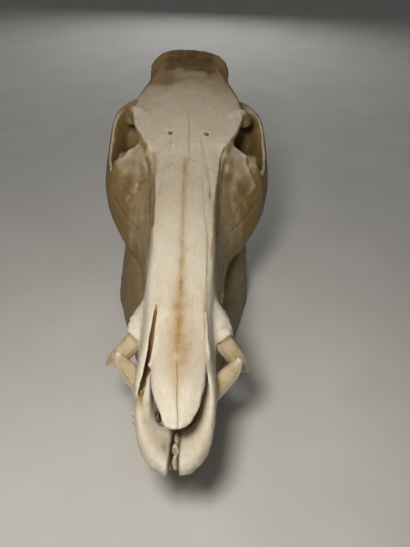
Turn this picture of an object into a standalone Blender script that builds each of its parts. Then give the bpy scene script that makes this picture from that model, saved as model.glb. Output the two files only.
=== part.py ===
"""Wild boar skull with its lower jaw, at life size, resting on the jaw's lower edge.

Points are written (x, s, z) in millimetres: x across, s the distance behind the snout's tip, z above
the surface that the skull stands on. The snout points along -Y, so the animal's left side is at +X.
"""

import bmesh
import bpy
import numpy as np

MM = 0.001
GAP = 0.3
SNOUT_TO_CREST = 352.0
CORE_VOXEL = 1.7
FINE_VOXEL = 1.45
CRANIUM_TRIANGLES = 6300
MANDIBLE_TRIANGLES = 2800
BONE_COLOUR = (0.80, 0.72, 0.56, 1.0)
TOOTH_COLOUR = (0.86, 0.80, 0.66, 1.0)

# Cross-sections of the snout, face and braincase, front to back. Each row holds s, the height of the
# midline, then x and z of the dorsal edge, upper wall, widest wall, lower wall and alveolar edge, and
# the height of the floor at the midline.
CORE_SECTIONS = np.array([
    (0, 79.5, 3.0, 79.0, 4.5, 77.5, 5.0, 76.0, 5.0, 74.5, 4.0, 72.5, 72.0),
    (1.5, 80.3, 6.5, 80.0, 8.5, 78.3, 9.5, 76.5, 9.0, 74.5, 7.5, 72.0, 71.3),
    (4.5, 82.0, 10.5, 81.8, 12.8, 80.0, 13.7, 77.5, 13.0, 75.0, 11.0, 71.5, 70.7),
    (8, 83.5, 13.5, 83.3, 16.2, 81.3, 17.0, 78.3, 16.2, 75.3, 14.0, 71.3, 70.5),
    (13.5, 85.5, 16.5, 85.3, 19.0, 83.0, 19.9, 79.5, 19.0, 76.0, 16.5, 71.5, 70.5),
    (20, 87.5, 18.5, 87.2, 21.0, 84.5, 21.8, 81.0, 20.8, 77.0, 18.0, 71.5, 70.5),
    (27, 89.5, 20.3, 89.0, 22.4, 86.2, 23.2, 82.5, 22.0, 78.0, 19.0, 71.5, 70.5),
    (34, 93.5, 21.8, 92.5, 23.6, 88.0, 24.3, 83.5, 22.8, 78.5, 19.5, 71.5, 70.5),
    (41, 99.5, 21.8, 98.5, 24.2, 91.5, 25.0, 85.0, 23.5, 79.0, 20.0, 71.5, 70.5),
    (48, 106.5, 20.8, 105.5, 23.8, 96.0, 25.2, 86.5, 23.8, 79.5, 20.0, 71.5, 70.5),
    (55, 112.0, 19.5, 110.5, 23.0, 100.0, 25.0, 88.0, 24.0, 80.0, 20.5, 71.5, 70.5),
    (68, 119.0, 18.2, 116.5, 22.2, 104.0, 24.6, 90.0, 24.2, 81.0, 21.5, 71.5, 70.8),
    (82, 124.5, 18.5, 120.5, 22.4, 108.0, 24.2, 95.0, 24.6, 82.0, 22.5, 72.0, 71.0),
    (100, 129.8, 20.0, 125.8, 23.1, 112.0, 24.2, 98.0, 26.0, 84.0, 24.0, 72.0, 71.0),
    (125, 137.5, 21.5, 133.5, 23.5, 118.0, 24.5, 103.0, 27.0, 86.0, 26.5, 73.0, 71.0),
    (145, 143.3, 21.6, 139.3, 24.0, 125.0, 26.0, 108.0, 29.0, 88.0, 28.0, 73.0, 71.0),
    (165, 148.7, 22.0, 144.5, 25.0, 131.0, 29.0, 112.0, 33.0, 92.0, 30.0, 73.0, 71.0),
    (180, 152.5, 22.8, 148.0, 27.0, 135.0, 34.0, 115.0, 38.0, 95.0, 31.0, 74.0, 71.0),
    (195, 156.4, 24.5, 151.8, 30.0, 139.0, 41.5, 120.0, 46.0, 97.0, 32.0, 76.0, 71.5),
    (210, 160.5, 27.0, 156.0, 34.5, 144.0, 50.0, 128.0, 54.0, 101.0, 32.0, 80.0, 72.0),
    (220, 163.5, 28.5, 159.5, 39.5, 150.0, 57.0, 137.0, 60.0, 106.0, 31.0, 85.0, 74.0),
    (229, 166.8, 30.0, 163.0, 44.0, 156.0, 62.0, 144.0, 63.0, 110.0, 30.0, 88.0, 77.0),
    (235, 169.0, 32.0, 165.5, 46.0, 160.0, 60.0, 147.0, 58.0, 113.0, 28.0, 90.0, 80.0),
    (243, 172.0, 35.0, 169.0, 38.0, 160.0, 36.0, 140.0, 30.0, 112.0, 22.0, 94.0, 83.0),
    (252, 175.0, 39.0, 172.0, 38.0, 162.0, 32.0, 143.0, 28.0, 112.0, 20.0, 96.0, 86.0),
    (264, 179.5, 43.5, 176.5, 39.0, 166.0, 32.0, 146.0, 28.0, 115.0, 20.0, 97.0, 89.0),
    (276, 184.0, 46.5, 180.0, 41.0, 170.0, 33.0, 150.0, 29.0, 118.0, 21.0, 98.0, 91.0),
    (288, 188.3, 44.0, 183.5, 42.5, 175.0, 34.5, 152.0, 30.0, 120.0, 22.0, 98.0, 93.0),
    (300, 192.5, 41.0, 186.5, 43.0, 176.0, 36.0, 154.0, 32.0, 122.0, 23.0, 99.0, 95.0),
    (312, 196.5, 35.5, 191.0, 39.5, 181.0, 36.0, 154.0, 34.0, 124.0, 24.0, 101.0, 97.0),
    (324, 200.5, 30.5, 196.0, 34.5, 186.0, 34.0, 158.0, 33.0, 128.0, 24.0, 106.0, 100.0),
    (334, 204.0, 28.0, 199.5, 31.0, 190.0, 31.0, 164.0, 31.0, 136.0, 20.0, 118.0, 110.0),
    (346, 207.0, 28.0, 203.0, 29.0, 194.0, 27.0, 176.0, 26.0, 160.0, 18.0, 150.0, 146.0),
    (352, 208.0, 28.0, 204.0, 28.0, 196.0, 25.0, 180.0, 22.0, 165.0, 16.0, 156.0, 152.0),
])

# Half-widths of the two nasal bones together, and how far they sit towards the left of the snout.
NASAL_S = (9.0, 10.5, 13.0, 18.0, 26.0, 36.0, 46.0, 62.0, 82.0, 100.0, 115.0, 140.0, 170.0, 195.0, 206.0, 213.0)
NASAL_HALF = (1.2, 4.2, 7.0, 9.4, 12.2, 14.2, 15.0, 15.4, 15.8, 17.2, 17.4, 14.0, 13.5, 12.6, 8.6, 1.5)
SHIFT_S = (9.0, 20.0, 50.0, 80.0, 110.0, 213.0)
SHIFT_X = (0.4, 1.3, 1.8, 1.0, 0.0, 0.0)

# How far the snout's walls lean the other way, to the animal's right.
LEAN_S = (12.0, 30.0, 46.0, 76.0, 100.0, 130.0)
LEAN_X = (-0.2, -0.9, -1.3, -1.3, -0.8, 0.0)
NOSE_LEAN_S = (12.0, 30.0, 46.0, 58.0)
NOSE_LEAN_X = (-0.2, -0.9, -1.0, 0.0)

# The steep outer strip of the right nasal bone, which the left one has not: how wide it is.
FLANK_S = (24.0, 34.0, 46.0, 60.0, 76.0, 90.0)
FLANK_X = (0.0, 1.6, 2.2, 1.9, 0.9, 0.0)

# Cheek teeth, front to back: s of the front edge, length, width, and x of the middle.
UPPER_TEETH = ((92, 7, 4.5, 19.5), (102, 11, 6, 20), (114, 12, 8.5, 21), (127, 12.5, 12, 22),
               (140, 15.5, 14, 23), (156, 20, 16.5, 23.5), (177, 30, 17, 24))
LOWER_TEETH = ((99, 10, 4.5, 19), (110, 12, 5.5, 20), (123, 14, 7.5, 21),
               (138, 15, 9.5, 22.5), (154, 19, 12, 24), (174, 33, 13.5, 27))
OCCLUSAL_Z = 58.0

# The zygomatic arch from the cheek to its root beside the ear: x, s, z, half-thickness, half-height.
ARCH = ((40, 198, 92, 8, 9), (48, 212, 98, 8, 12), (57, 226, 110, 7, 19), (64, 242, 117, 5.8, 23),
        (68, 261, 116.5, 5, 18), (69, 279, 121.5, 4.6, 16.5), (66, 294, 131.5, 5, 17.5),
        (60, 308, 147, 5.5, 19), (50, 317, 153, 8, 19), (37, 321, 157, 9, 18))


def curve_through(xs, ys, at):
    """Cubic curve through given values that never overshoots them (Fritsch and Carlson's slopes)."""
    xs, ys, at = (np.asarray(v, float) for v in (xs, ys, at))
    step = np.diff(xs)
    slope = np.diff(ys) / step
    same_way = slope[:-1] * slope[1:] > 0
    safe = np.where(same_way, slope[:-1] * slope[1:], 1.0)
    total = np.where(same_way, slope[:-1] + slope[1:], 1.0)
    inner = np.where(same_way, 2 * safe / total, 0.0)
    tangent = np.concatenate([[slope[0]], inner, [slope[-1]]])
    i = np.clip(np.searchsorted(xs, at, side="right") - 1, 0, len(xs) - 2)
    t = (at - xs[i]) / step[i]
    t = np.clip(t, 0.0, 1.0)
    return (ys[i] * (1 + 2 * t) * (1 - t) ** 2 + tangent[i] * step[i] * t * (1 - t) ** 2
            + ys[i + 1] * t * t * (3 - 2 * t) + tangent[i + 1] * step[i] * t * t * (t - 1))


def core_section(s):
    return np.array([curve_through(CORE_SECTIONS[:, 0], column, [s])[0] for column in CORE_SECTIONS.T[1:]])


def closed_ring(points, count):
    """Closed Catmull-Rom curve through the points, with count points spread along it."""
    points = np.asarray(points, float)
    t = np.linspace(0, len(points), count, endpoint=False)
    i = t.astype(int)
    f = (t - i)[:, None]
    a, b, c, d = (points[(i + k) % len(points)] for k in (-1, 0, 1, 2))
    return 0.5 * (2 * b + (c - a) * f + (2 * a - 5 * b + 4 * c - d) * f ** 2 + (3 * b - a - 3 * c + d) * f ** 3)


def open_curve(points, per_span):
    """Catmull-Rom curve through the points, whatever each one holds, with its first and last kept."""
    points = np.asarray(points, float)
    ends = np.vstack([2 * points[0] - points[1], points, 2 * points[-1] - points[-2]])
    t = np.linspace(0, len(points) - 1, (len(points) - 1) * per_span + 1)
    i = np.minimum(t.astype(int), len(points) - 2)
    f = (t - i)[:, None]
    a, b, c, d = (ends[i + k] for k in range(4))
    return 0.5 * (2 * b + (c - a) * f + (2 * a - 5 * b + 4 * c - d) * f ** 2 + (3 * b - a - 3 * c + d) * f ** 3)


def to_world(points):
    """From (x, s, z) in millimetres to metres."""
    return np.asarray(points, float) * MM


def add_rings(bm, rings):
    """Joins rings of points into a closed tube, with a flat cap at each end."""
    rows = [[bm.verts.new(p) for p in to_world(ring)] for ring in rings]
    faces = []
    for one, two in zip(rows, rows[1:]):
        for k in range(len(one)):
            n = (k + 1) % len(one)
            faces.append(bm.faces.new((one[k], one[n], two[n], two[k])))
    faces.append(bm.faces.new(rows[0][::-1]))
    faces.append(bm.faces.new(rows[-1]))
    bmesh.ops.recalc_face_normals(bm, faces=faces)


def tube_rings(path, around=16, per_span=4, level=(0.0, 0.0, 1.0)):
    """Rings along a curved path. Each point of path is (x, s, z, half-width, half-height); the height
    stands as near to level as the path allows, and both ends are rounded off."""
    curve = open_curve(path, per_span)
    centre, size = curve[:, :3], np.maximum(curve[:, 3:5], 0.3)
    along = np.gradient(centre, axis=0)
    along /= np.linalg.norm(along, axis=1)[:, None]
    side = np.cross(along, np.asarray(level, float))
    side /= np.linalg.norm(side, axis=1)[:, None]
    up = np.cross(side, along)
    angle = np.linspace(0, 2 * np.pi, around, endpoint=False)
    rings = [c + w * np.outer(np.cos(angle), a) + h * np.outer(np.sin(angle), b)
             for c, (w, h), a, b in zip(centre, size, side, up)]
    front, back = [], []
    for lean in (0.85, 0.5):
        shrink = np.sqrt(1 - lean ** 2)
        front.append(centre[0] + (rings[0] - centre[0]) * shrink - along[0] * lean * size[0].min())
        back.insert(0, centre[-1] + (rings[-1] - centre[-1]) * shrink + along[-1] * lean * size[-1].min())
    return front + rings + back


def ball_rings(centre, radii, tilt=0.0, count=20):
    """Rings of an ellipsoid; tilt turns it about the s axis, in degrees, positive lifting its +x side."""
    turn = np.radians(tilt)
    lean = np.linspace(-np.pi / 2 + 0.15, np.pi / 2 - 0.15, 13)
    angle = np.linspace(0, 2 * np.pi, count, endpoint=False)
    rings = []
    for v in lean:
        x = radii[0] * np.cos(v) * np.cos(angle)
        z = radii[2] * np.cos(v) * np.sin(angle)
        s = np.full(count, radii[1] * np.sin(v))
        rings.append(np.stack([x * np.cos(turn) - z * np.sin(turn), s,
                               x * np.sin(turn) + z * np.cos(turn)], 1) + centre)
    return rings


def mirrored(rings):
    return [ring * (-1, 1, 1) for ring in rings]


def both_sides(bm, rings):
    rings = [np.asarray(ring, float) for ring in rings]
    add_rings(bm, rings)
    add_rings(bm, mirrored(rings))


def box_rings(low, high):
    (x0, s0, z0), (x1, s1, z1) = low, high
    return [np.array([(x0, s, z0), (x1, s, z0), (x1, s, z1), (x0, s, z1)], float) for s in (s0, s1)]


def new_object(name, bm):
    mesh = bpy.data.meshes.new(name)
    bm.to_mesh(mesh)
    bm.free()
    made = bpy.data.objects.new(name, mesh)
    bpy.context.scene.collection.objects.link(made)
    return made


def apply_modifiers(target):
    """Keeps the evaluated mesh and drops the modifiers."""
    graph = bpy.context.evaluated_depsgraph_get()
    mesh = bpy.data.meshes.new_from_object(target.evaluated_get(graph))
    target.modifiers.clear()
    target.data = mesh
    return target


def fuse(target, voxel, rounds, factor=0.5):
    """Melts overlapping closed shapes into one skin, then eases it over a few voxels."""
    remesh = target.modifiers.new("one_skin", "REMESH")
    remesh.mode = "VOXEL"
    remesh.voxel_size = voxel * MM
    ease = target.modifiers.new("ease", "SMOOTH")
    ease.factor = factor
    ease.iterations = rounds
    return apply_modifiers(target)


def boolean(target, other, operation, solver="EXACT", keep=False):
    cut = target.modifiers.new(operation.lower(), "BOOLEAN")
    cut.object = other
    cut.operation = operation
    cut.solver = solver
    apply_modifiers(target)
    if not keep:
        bpy.data.objects.remove(other)
    return target


def duplicate(target, name):
    made = target.copy()
    made.data = target.data.copy()
    made.name = name
    bpy.context.scene.collection.objects.link(made)
    return made


def join(target, other):
    bm = bmesh.new()
    bm.from_mesh(target.data)
    bm.from_mesh(other.data)
    mesh = bpy.data.meshes.new(target.name)
    bm.to_mesh(mesh)
    bm.free()
    target.data = mesh
    bpy.data.objects.remove(other)
    return target


def keep_largest(target):
    """Drops every closed surface but the largest."""
    bm = bmesh.new()
    bm.from_mesh(target.data)
    bmesh.ops.triangulate(bm, faces=bm.faces[:])
    left, groups = set(bm.verts), []
    while left:
        group, edge_of_group = set(), [left.pop()]
        while edge_of_group:
            vert = edge_of_group.pop()
            group.add(vert)
            near = {e.other_vert(vert) for e in vert.link_edges} & left
            left -= near
            edge_of_group += near
        groups.append(group)
    largest = max(groups, key=len)
    bmesh.ops.delete(bm, geom=[v for g in groups if g is not largest for v in g], context="VERTS")
    bm.to_mesh(target.data)
    bm.free()
    return target


def thin_out(target, triangles):
    target.modifiers.new("triangles", "TRIANGULATE")
    apply_modifiers(target)
    fewer = target.modifiers.new("fewer", "DECIMATE")
    fewer.ratio = min(1.0, triangles / len(target.data.polygons))
    fewer.use_collapse_triangulate = True
    return apply_modifiers(target)


def core_rings():
    """The snout, face and braincase as one body, ring by ring."""
    stations = np.concatenate([np.linspace(0, 14, 8), np.arange(17.5, SNOUT_TO_CREST, 3.5), [SNOUT_TO_CREST]])
    rings = []
    for s in stations:
        top, ex, ez, ux, uz, wx, wz, lx, lz, ax, az, floor = core_section(s)
        half = [(0, top), (ex * 0.62, top - 0.28 * (top - ez)), (ex, ez), (ux, uz), (wx, wz), (lx, lz),
                (ax, az), (ax * 0.55, 0.35 * az + 0.65 * floor), (0, floor)]
        outline = half + [(-x, z) for x, z in half[-2:0:-1]]
        ring = closed_ring(outline, 64)
        ring[:, 0] += np.interp(s, LEAN_S, LEAN_X)
        rings.append(np.insert(ring, 1, s, axis=1))
    return rings


def cranium_forms(bm):
    """Everything that stands out from the core: arches, crest, processes and tooth sheath."""
    add_rings(bm, core_rings())
    both_sides(bm, tube_rings(ARCH, 20))
    brow = ((29, 230, 163, 4, 4), (34, 240, 168, 4, 4), (39.5, 252, 172, 4, 4), (43.5, 265, 175.5, 4, 4))
    both_sides(bm, tube_rings(brow))
    crest = ((0, 347, 205, 5.5, 5.5), (12, 347, 205, 5.5, 5.5), (23, 345.5, 202.5, 5.5, 6),
             (30.5, 342, 197, 5, 6.5),
             (31, 338.5, 190, 4.5, 6), (27, 334, 178, 5, 6), (31, 328, 160, 6, 6), (42, 322, 149, 7, 6))
    both_sides(bm, tube_rings(crest, level=(0, 1, 0.2)))
    paracondylar = ((30, 312, 122, 7, 6), (28, 309, 106, 6.5, 4.5), (26.5, 306, 90, 5, 3.6),
                    (25.5, 303, 74, 3.2, 2.6),
                    (25, 301, 64, 2, 2))
    both_sides(bm, tube_rings(paracondylar, level=(0, 1, 0)))
    condyle = ((6, 309, 98, 5, 6), (12, 315, 101, 6, 7.5), (17, 316.5, 108, 6, 8), (16, 315, 117, 5, 6))
    both_sides(bm, tube_rings(condyle, level=(0, 1, 0.3)))
    bulla = ((19, 286, 102, 8, 8), (19, 284, 92, 7.5, 8), (18.5, 281, 82, 5, 5.5), (18, 279, 74, 2.5, 3))
    both_sides(bm, tube_rings(bulla, level=(0, 1, 0)))
    pterygoid = ((14, 222, 84, 4, 9), (14, 228, 76, 3, 8), (13.5, 232, 68, 2.4, 5), (13.5, 235, 63, 1.8, 2.5))
    both_sides(bm, tube_rings(pterygoid, level=(0, 1, 0)))
    ear_hill = ((36, 318, 146, 8, 8), (43, 321, 153, 6, 7), (44, 322, 160, 5, 5))
    both_sides(bm, tube_rings(ear_hill, level=(0, 1, 0)))
    sheath = ((18, 104, 112, 6, 7), (22, 94, 106, 7.8, 8.2), (25.4, 87.2, 101, 8, 8.2),
              (27.8, 83, 97.6, 7.8, 8))
    both_sides(bm, tube_rings(sheath))
    flange = ((22.5, 114, 101, 2.5, 4), (27, 101, 103, 2.6, 5), (31, 91, 103, 2.2, 4.6),
              (32.4, 85.5, 102, 1.8, 3.6))
    both_sides(bm, tube_rings(flange))
    masseter_crest = ((34, 182, 92, 4, 4), (43, 198, 90, 4, 5), (51, 211, 92, 3.5, 5), (57.5, 224, 96, 3, 5),
                      (62, 238, 99, 3, 4))
    both_sides(bm, tube_rings(masseter_crest))
    tuber = ((25, 205, 84, 9, 10), (24, 214, 84, 8, 9), (22, 221, 86, 6, 7))
    both_sides(bm, tube_rings(tuber))


def cranium_hollows(bm):
    """Everything that is open: orbits, temporal fossae, nose, choanae, foramina and the occiput."""
    both_sides(bm, ball_rings((50, 254.5, 148), (27, 19, 17.5), tilt=12))
    both_sides(bm, ball_rings((53, 289, 128), (10, 23, 52)))
    both_sides(bm, ball_rings((46, 262, 118), (15, 26, 26)))
    both_sides(bm, ball_rings((46.5, 238, 95), (10, 25, 31)))
    both_sides(bm, ball_rings((47, 294, 166), (9, 19, 12), tilt=-30))
    nose = []
    for s, low, low_z, high, high_z, floor, top in (
            (3, 1, 90, 1, 100, 85, 104), (6, 6, 88, 8, 97, 82.5, 106), (12, 11, 84, 18, 92, 80.5, 110),
            (20, 13.2, 84.5, 21, 94, 79.5, 116), (30, 15.4, 86.5, 21.5, 96, 79.5, 120),
            (42, 17, 90, 19.8, 101, 80, 124), (56, 16.6, 93, 16.6, 110, 80, 128),
            (70, 16.2, 95, 14.6, 112, 80.5, 131),
            (84, 15.8, 97, 13, 113, 81.5, 121), (98, 15.2, 98, 12, 116, 83, 124),
            (110, 13, 100, 10, 117, 86, 125),
            (118, 8, 102, 7, 114, 92, 121)):
        saucer = np.interp(s, (30, 60), (1.0, 0.0))
        half = [(0, floor), (low * 0.7, floor + 1.2 + 1.6 * saucer), (low, low_z), (high, high_z),
(high * 0.6, top),
                (0, top + 0.5)]
        ring = closed_ring(half + [(-x, z) for x, z in half[-2:0:-1]], 32)
        ring[:, 0] += np.interp(s, NOSE_LEAN_S, NOSE_LEAN_X)
        nose.append(np.insert(ring, 1, s, axis=1))
    add_rings(bm, nose)
    slit = [np.array([(w + lean, s, 60), (w + lean, s, 100), (-w + lean, s, 100), (-w + lean, s, 60)], float)
            for s, w, lean in ((-8, 3.1, -0.7), (6, 2.9, -0.5), (18, 2.4, -0.2), (26, 1.2, 0))]
    add_rings(bm, slit)
    beside_sheath = ((24.6, 71, 93, 0.8, 5), (24.8, 82, 101, 1.4, 7), (24.5, 98, 106, 1.4, 7),
                     (24.2, 113, 110, 1.2, 5),
                     (24, 126, 114, 0.7, 3))
    both_sides(bm, tube_rings(beside_sheath))
    both_sides(bm, tube_rings(((8.5, 30, 60, 2.2, 2.5), (8.5, 30, 95, 2.2, 2.5)), level=(0, 1, 0)))
    both_sides(bm, tube_rings(((9, 40, 60, 2.4, 5), (9, 40, 95, 2.4, 5)), level=(0, 1, 0)))
    add_rings(bm, tube_rings(((0, 236, 74, 9, 8), (0, 222, 80, 9, 8), (0, 212, 82, 8, 6))))
    add_rings(bm, tube_rings(((0, 60, 67, 12, 4), (0, 120, 67.5, 13, 5), (0, 205, 68, 14, 6))))
    occiput = [np.array([(-70, a, 60), (70, a, 60), (70, b, 230), (-70, b, 230)], float)
               for a, b in ((312.5, 360.5), (420, 420))]
    add_rings(bm, occiput)
    both_sides(bm, ball_rings((13.5, 350, 170), (12, 18, 26)))
    add_rings(bm, tube_rings(((0, 336, 118, 10, 9.5), (0, 318, 117, 10, 9.5),
                             (0, 300, 120, 9, 8)), level=(0, 0, 1)))
    both_sides(bm, tube_rings(((56, 318, 165, 2.5, 2.5), (46, 319, 157, 2.5, 2.5), (38, 320, 150, 2.5, 2.5))))
    both_sides(bm, tube_rings(((40, 136, 112, 4, 6), (30, 142, 111, 4, 6), (23, 150, 110, 3, 4))))


def arches_and_crest(bm):
    """Forms that stand free of the hollows or over them, so they are added once the hollows are cut."""
    both_sides(bm, tube_rings(((61, 235, 115, 4.6, 19),) + ARCH[3:], 20))
    glenoid = ((34, 298, 130, 9, 6.5), (45, 292, 127.5, 10, 6), (58, 288, 126.5, 8.5, 5.5),
               (64, 286, 128, 6, 5))
    both_sides(bm, tube_rings(glenoid))
    arch_root = ((34, 315, 138, 7, 11), (45, 311, 137, 6.5, 12), (58, 305, 138, 5.5, 12))
    both_sides(bm, tube_rings(arch_root))
    rim = ((0, 347.5, 204.5, 4.5, 4.5), (12, 347.5, 204, 4.5, 5), (23, 346, 201, 4.5, 5.5),
           (31.5, 342, 193, 4, 6),
           (33.5, 337, 181, 3.5, 6), (32, 330, 167, 3.5, 5.5))
    both_sides(bm, tube_rings(rim, level=(0, 1, 0.2)))
    condyle = ((7, 312, 99, 5, 5), (12.5, 317, 102, 6, 7), (17, 318, 109, 5.5, 7.5), (16, 316, 118, 4.5, 5))
    both_sides(bm, tube_rings(condyle, level=(0, 1, 0.3)))
    fold_in_nose = ((-15.6, 60, 103, 1.2, 4), (-16.3, 54, 99.5, 1.3, 4.5), (-16.7, 48, 94.5, 1.4, 5),
                    (-16.6, 42, 90, 1.6, 5),
                    (-15.9, 36, 86, 1.8, 4), (-15, 29, 83, 1.6, 2.5))
    add_rings(bm, tube_rings(fold_in_nose))


def slit_beside_nasal(bm):
    """The long slit on the animal's right, where the premaxilla stands away from the nasal bone."""
    add_rings(bm, tube_rings(((-14.5, 84, 121.5, 0.6, 5), (-14.8, 78, 118, 1.0, 8), (-15.5, 70, 113, 1.35, 9),
                              (-16.2, 62.5, 107, 1.6, 10), (-16.9, 56, 101, 1.7, 10),
                              (-17.9, 51, 97.5, 1.5, 9),
                              (-19.3, 47, 95.5, 1.2, 8), (-20.7, 43.6, 94.5, 1.0, 7))))


def postorbital_processes(bm):
    """A tongue of the frontal bone that hangs behind each orbit."""
    tongue = ((35, 267, 173.5, 7, 6), (43, 271, 176, 6.6, 5.5),
              (47.6, 274, 173.5, 6.6, 4.6), (49.6, 275.5, 168.5, 6, 3.6))
    both_sides(bm, tube_rings(tongue, level=(0, 1, 0)))


def nasal_roof(bm):
    """The free front of the nasal bones, an arched plate that thins towards its tip."""
    rings = []
    for s in np.concatenate([np.linspace(9, 18, 6), np.arange(21, 103, 3.5)]):
        half = curve_through(NASAL_S, NASAL_HALF, [s])[0]
        shift = np.interp(s, SHIFT_S, SHIFT_X)
        top = np.interp(s, (9, 82, 100), (103.6, 124.7, 130.0))
        thick = np.interp(s, (9, 20, 60, 100), (2.2, 3.4, 4.2, 4.6))
        drop = 0.024 * half ** 2
        flank = np.interp(s, FLANK_S, FLANK_X)
        upper = [(x, top - drop * (x / half) ** 2) for x in half * np.array((-1, -0.6, -0.2, 0.2, 0.6, 1))]
        lower = [(x * 0.93, z - thick) for x, z in upper[::-1]]
        lower[-1] = (lower[-1][0] - flank, lower[-1][1] - 0.9 * flank)
        upper.insert(0, (-half - flank, top - drop - 1.5 * flank))
        ring = closed_ring(upper + lower, 28)
        ring[:, 0] += shift
        rings.append(np.insert(ring, 1, s, axis=1))
    add_rings(bm, rings)


def tooth_rings(s, length, width, x, root_z, crown_z):
    """A low crown of rounded blocks: it swells from its neck and closes over two rows of cusps."""
    angle = np.linspace(0, 2 * np.pi, 16, endpoint=False)
    square = [np.sign(wave) * np.abs(wave) ** 0.6 for wave in (np.cos(angle), np.sin(angle))]
    rings = []
    for share, swell in ((0.0, 0.82), (0.5, 0.92), (0.78, 0.98), (0.93, 0.86), (1.0, 0.6)):
        z = root_z + share * (crown_z - root_z)
        rings.append(np.stack([x + swell * width / 2 * square[0], s + length / 2 + swell * length / 2 * square[1],
                               np.full(len(angle), z)], 1))
    return rings


def add_teeth(bm, teeth, root_z, crown_z):
    """Premolars stand up like blades, so their crowns are narrow; molars are broad blocks."""
    for s, length, width, x in teeth:
        both_sides(bm, tooth_rings(s, length, width, x, root_z, crown_z))


def incisor(bm, path):
    both_sides(bm, tube_rings(path, 12, 3))


def make_cranium():
    """The whole skull above the jaw as one skin, before its bones are parted."""
    bm = bmesh.new()
    cranium_forms(bm)
    skull = fuse(new_object("skull_whole", bm), CORE_VOXEL, 7)
    bm = bmesh.new()
    cranium_hollows(bm)
    hollows = fuse(new_object("hollows", bm), CORE_VOXEL, 1)
    boolean(skull, hollows, "DIFFERENCE", "MANIFOLD")
    bm = bmesh.new()
    arches_and_crest(bm)
    postorbital_processes(bm)
    nasal_roof(bm)
    add_teeth(bm, UPPER_TEETH, 76.0, OCCLUSAL_Z + 0.7)
    incisor(bm, ((7, 13, 76, 3.2, 3.2), (6, 11.5, 70, 3.2, 3.4), (4.6, 11.8, 65.5, 2.6, 3),
                 (4, 13, 63, 1.6, 2)))
    incisor(bm, ((13, 21, 76, 2.6, 3), (12.5, 19, 70, 2.6, 3.2), (11, 18, 65.5, 1.8, 2.2)))
    incisor(bm, ((20, 38, 77, 2, 2.6), (21, 36.5, 71, 2, 3), (21, 35.5, 68, 1.2, 1.8)))
    join(skull, new_object("added", bm))
    fuse(skull, FINE_VOXEL, 3)
    bm = bmesh.new()
    slit_beside_nasal(bm)
    boolean(skull, new_object("slit", bm), "DIFFERENCE", "MANIFOLD")
    return keep_largest(thin_out(skull, CRANIUM_TRIANGLES))


def jaw_half_rings():
    """One side of the mandible: body, ramus, angle and condyle neck as upright oval sections."""
    rows = np.array([
        # s, foot x, foot z, mid x, head x, head z, half thickness of foot, mid and head
        (56, 12, 13, 14.5, 16, 46, 4, 6.0, 6.0),
        (66, 12.5, 5, 15, 16.5, 44, 5, 6.5, 5.5),
        (78, 14, 1, 16, 17.2, 44, 5.6, 7.0, 5.0),
        (95, 17.5, -0.6, 19, 18, 44.5, 6, 7.4, 4.2),
        (115, 22, -0.8, 22.5, 20, 45, 6, 7.8, 4.8),
        (135, 27.5, -0.8, 26, 21.8, 45.5, 6, 8.0, 5.8),
        (155, 34, -0.8, 30.5, 24, 46, 6, 8.3, 7.0),
        (172, 39.5, -0.8, 35, 26.5, 47, 5.8, 8.5, 8.0),
        (188, 45, -0.8, 40, 30, 49, 5.2, 8.2, 8.5),
        (203, 49.7, -0.8, 45, 37, 58, 5, 7.0, 7.0),
        (214, 52.8, -0.8, 48.5, 43, 76, 4.8, 5.2, 4.6),
        (226, 55.7, -0.8, 51, 46.5, 98, 4.8, 4.2, 3.8),
        (240, 58.3, -0.8, 53.2, 49, 116, 5, 3.8, 3.4),
        (251, 58.8, 0, 54.3, 50, 127, 5, 3.8, 3.0),
        (257, 58.5, 1.5, 54.5, 50.4, 130, 5, 3.8, 2.6),
        (263, 57.6, 4, 54.5, 50.8, 122, 5, 4, 2.8),
        (268, 56.8, 8, 54.3, 51.2, 112, 5, 4.2, 3.4),
        (275, 55.4, 15, 53.8, 51.5, 112, 5, 4.4, 5.0),
        (281, 54.2, 24, 53.3, 51.6, 112, 4.8, 4.5, 5.0),
        (286, 53.2, 36, 52.8, 51.6, 100, 4.2, 4.2, 4.0),
        (289, 52.6, 52, 52.4, 51.8, 82, 2.6, 2.8, 2.4)])
    rings = []
    for s in np.arange(56, 289.5, 3.0):
        fx, fz, mx, hx, hz, ft, mt, ht = (curve_through(rows[:, 0], c, [s])[0] for c in rows.T[1:])
        low = fz + ft * 0.9
        mz = fz + 0.52 * (hz - fz)
        outline = [(fx, fz), (fx + ft, low), (mx + mt, mz), (hx + ht, hz - ht), (hx, hz),
                   (hx - ht, hz - ht), (mx - mt, mz), (fx - ft, low)]
        rings.append(np.insert(closed_ring(outline, 32), 1, s, axis=1))
    return rings


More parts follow.
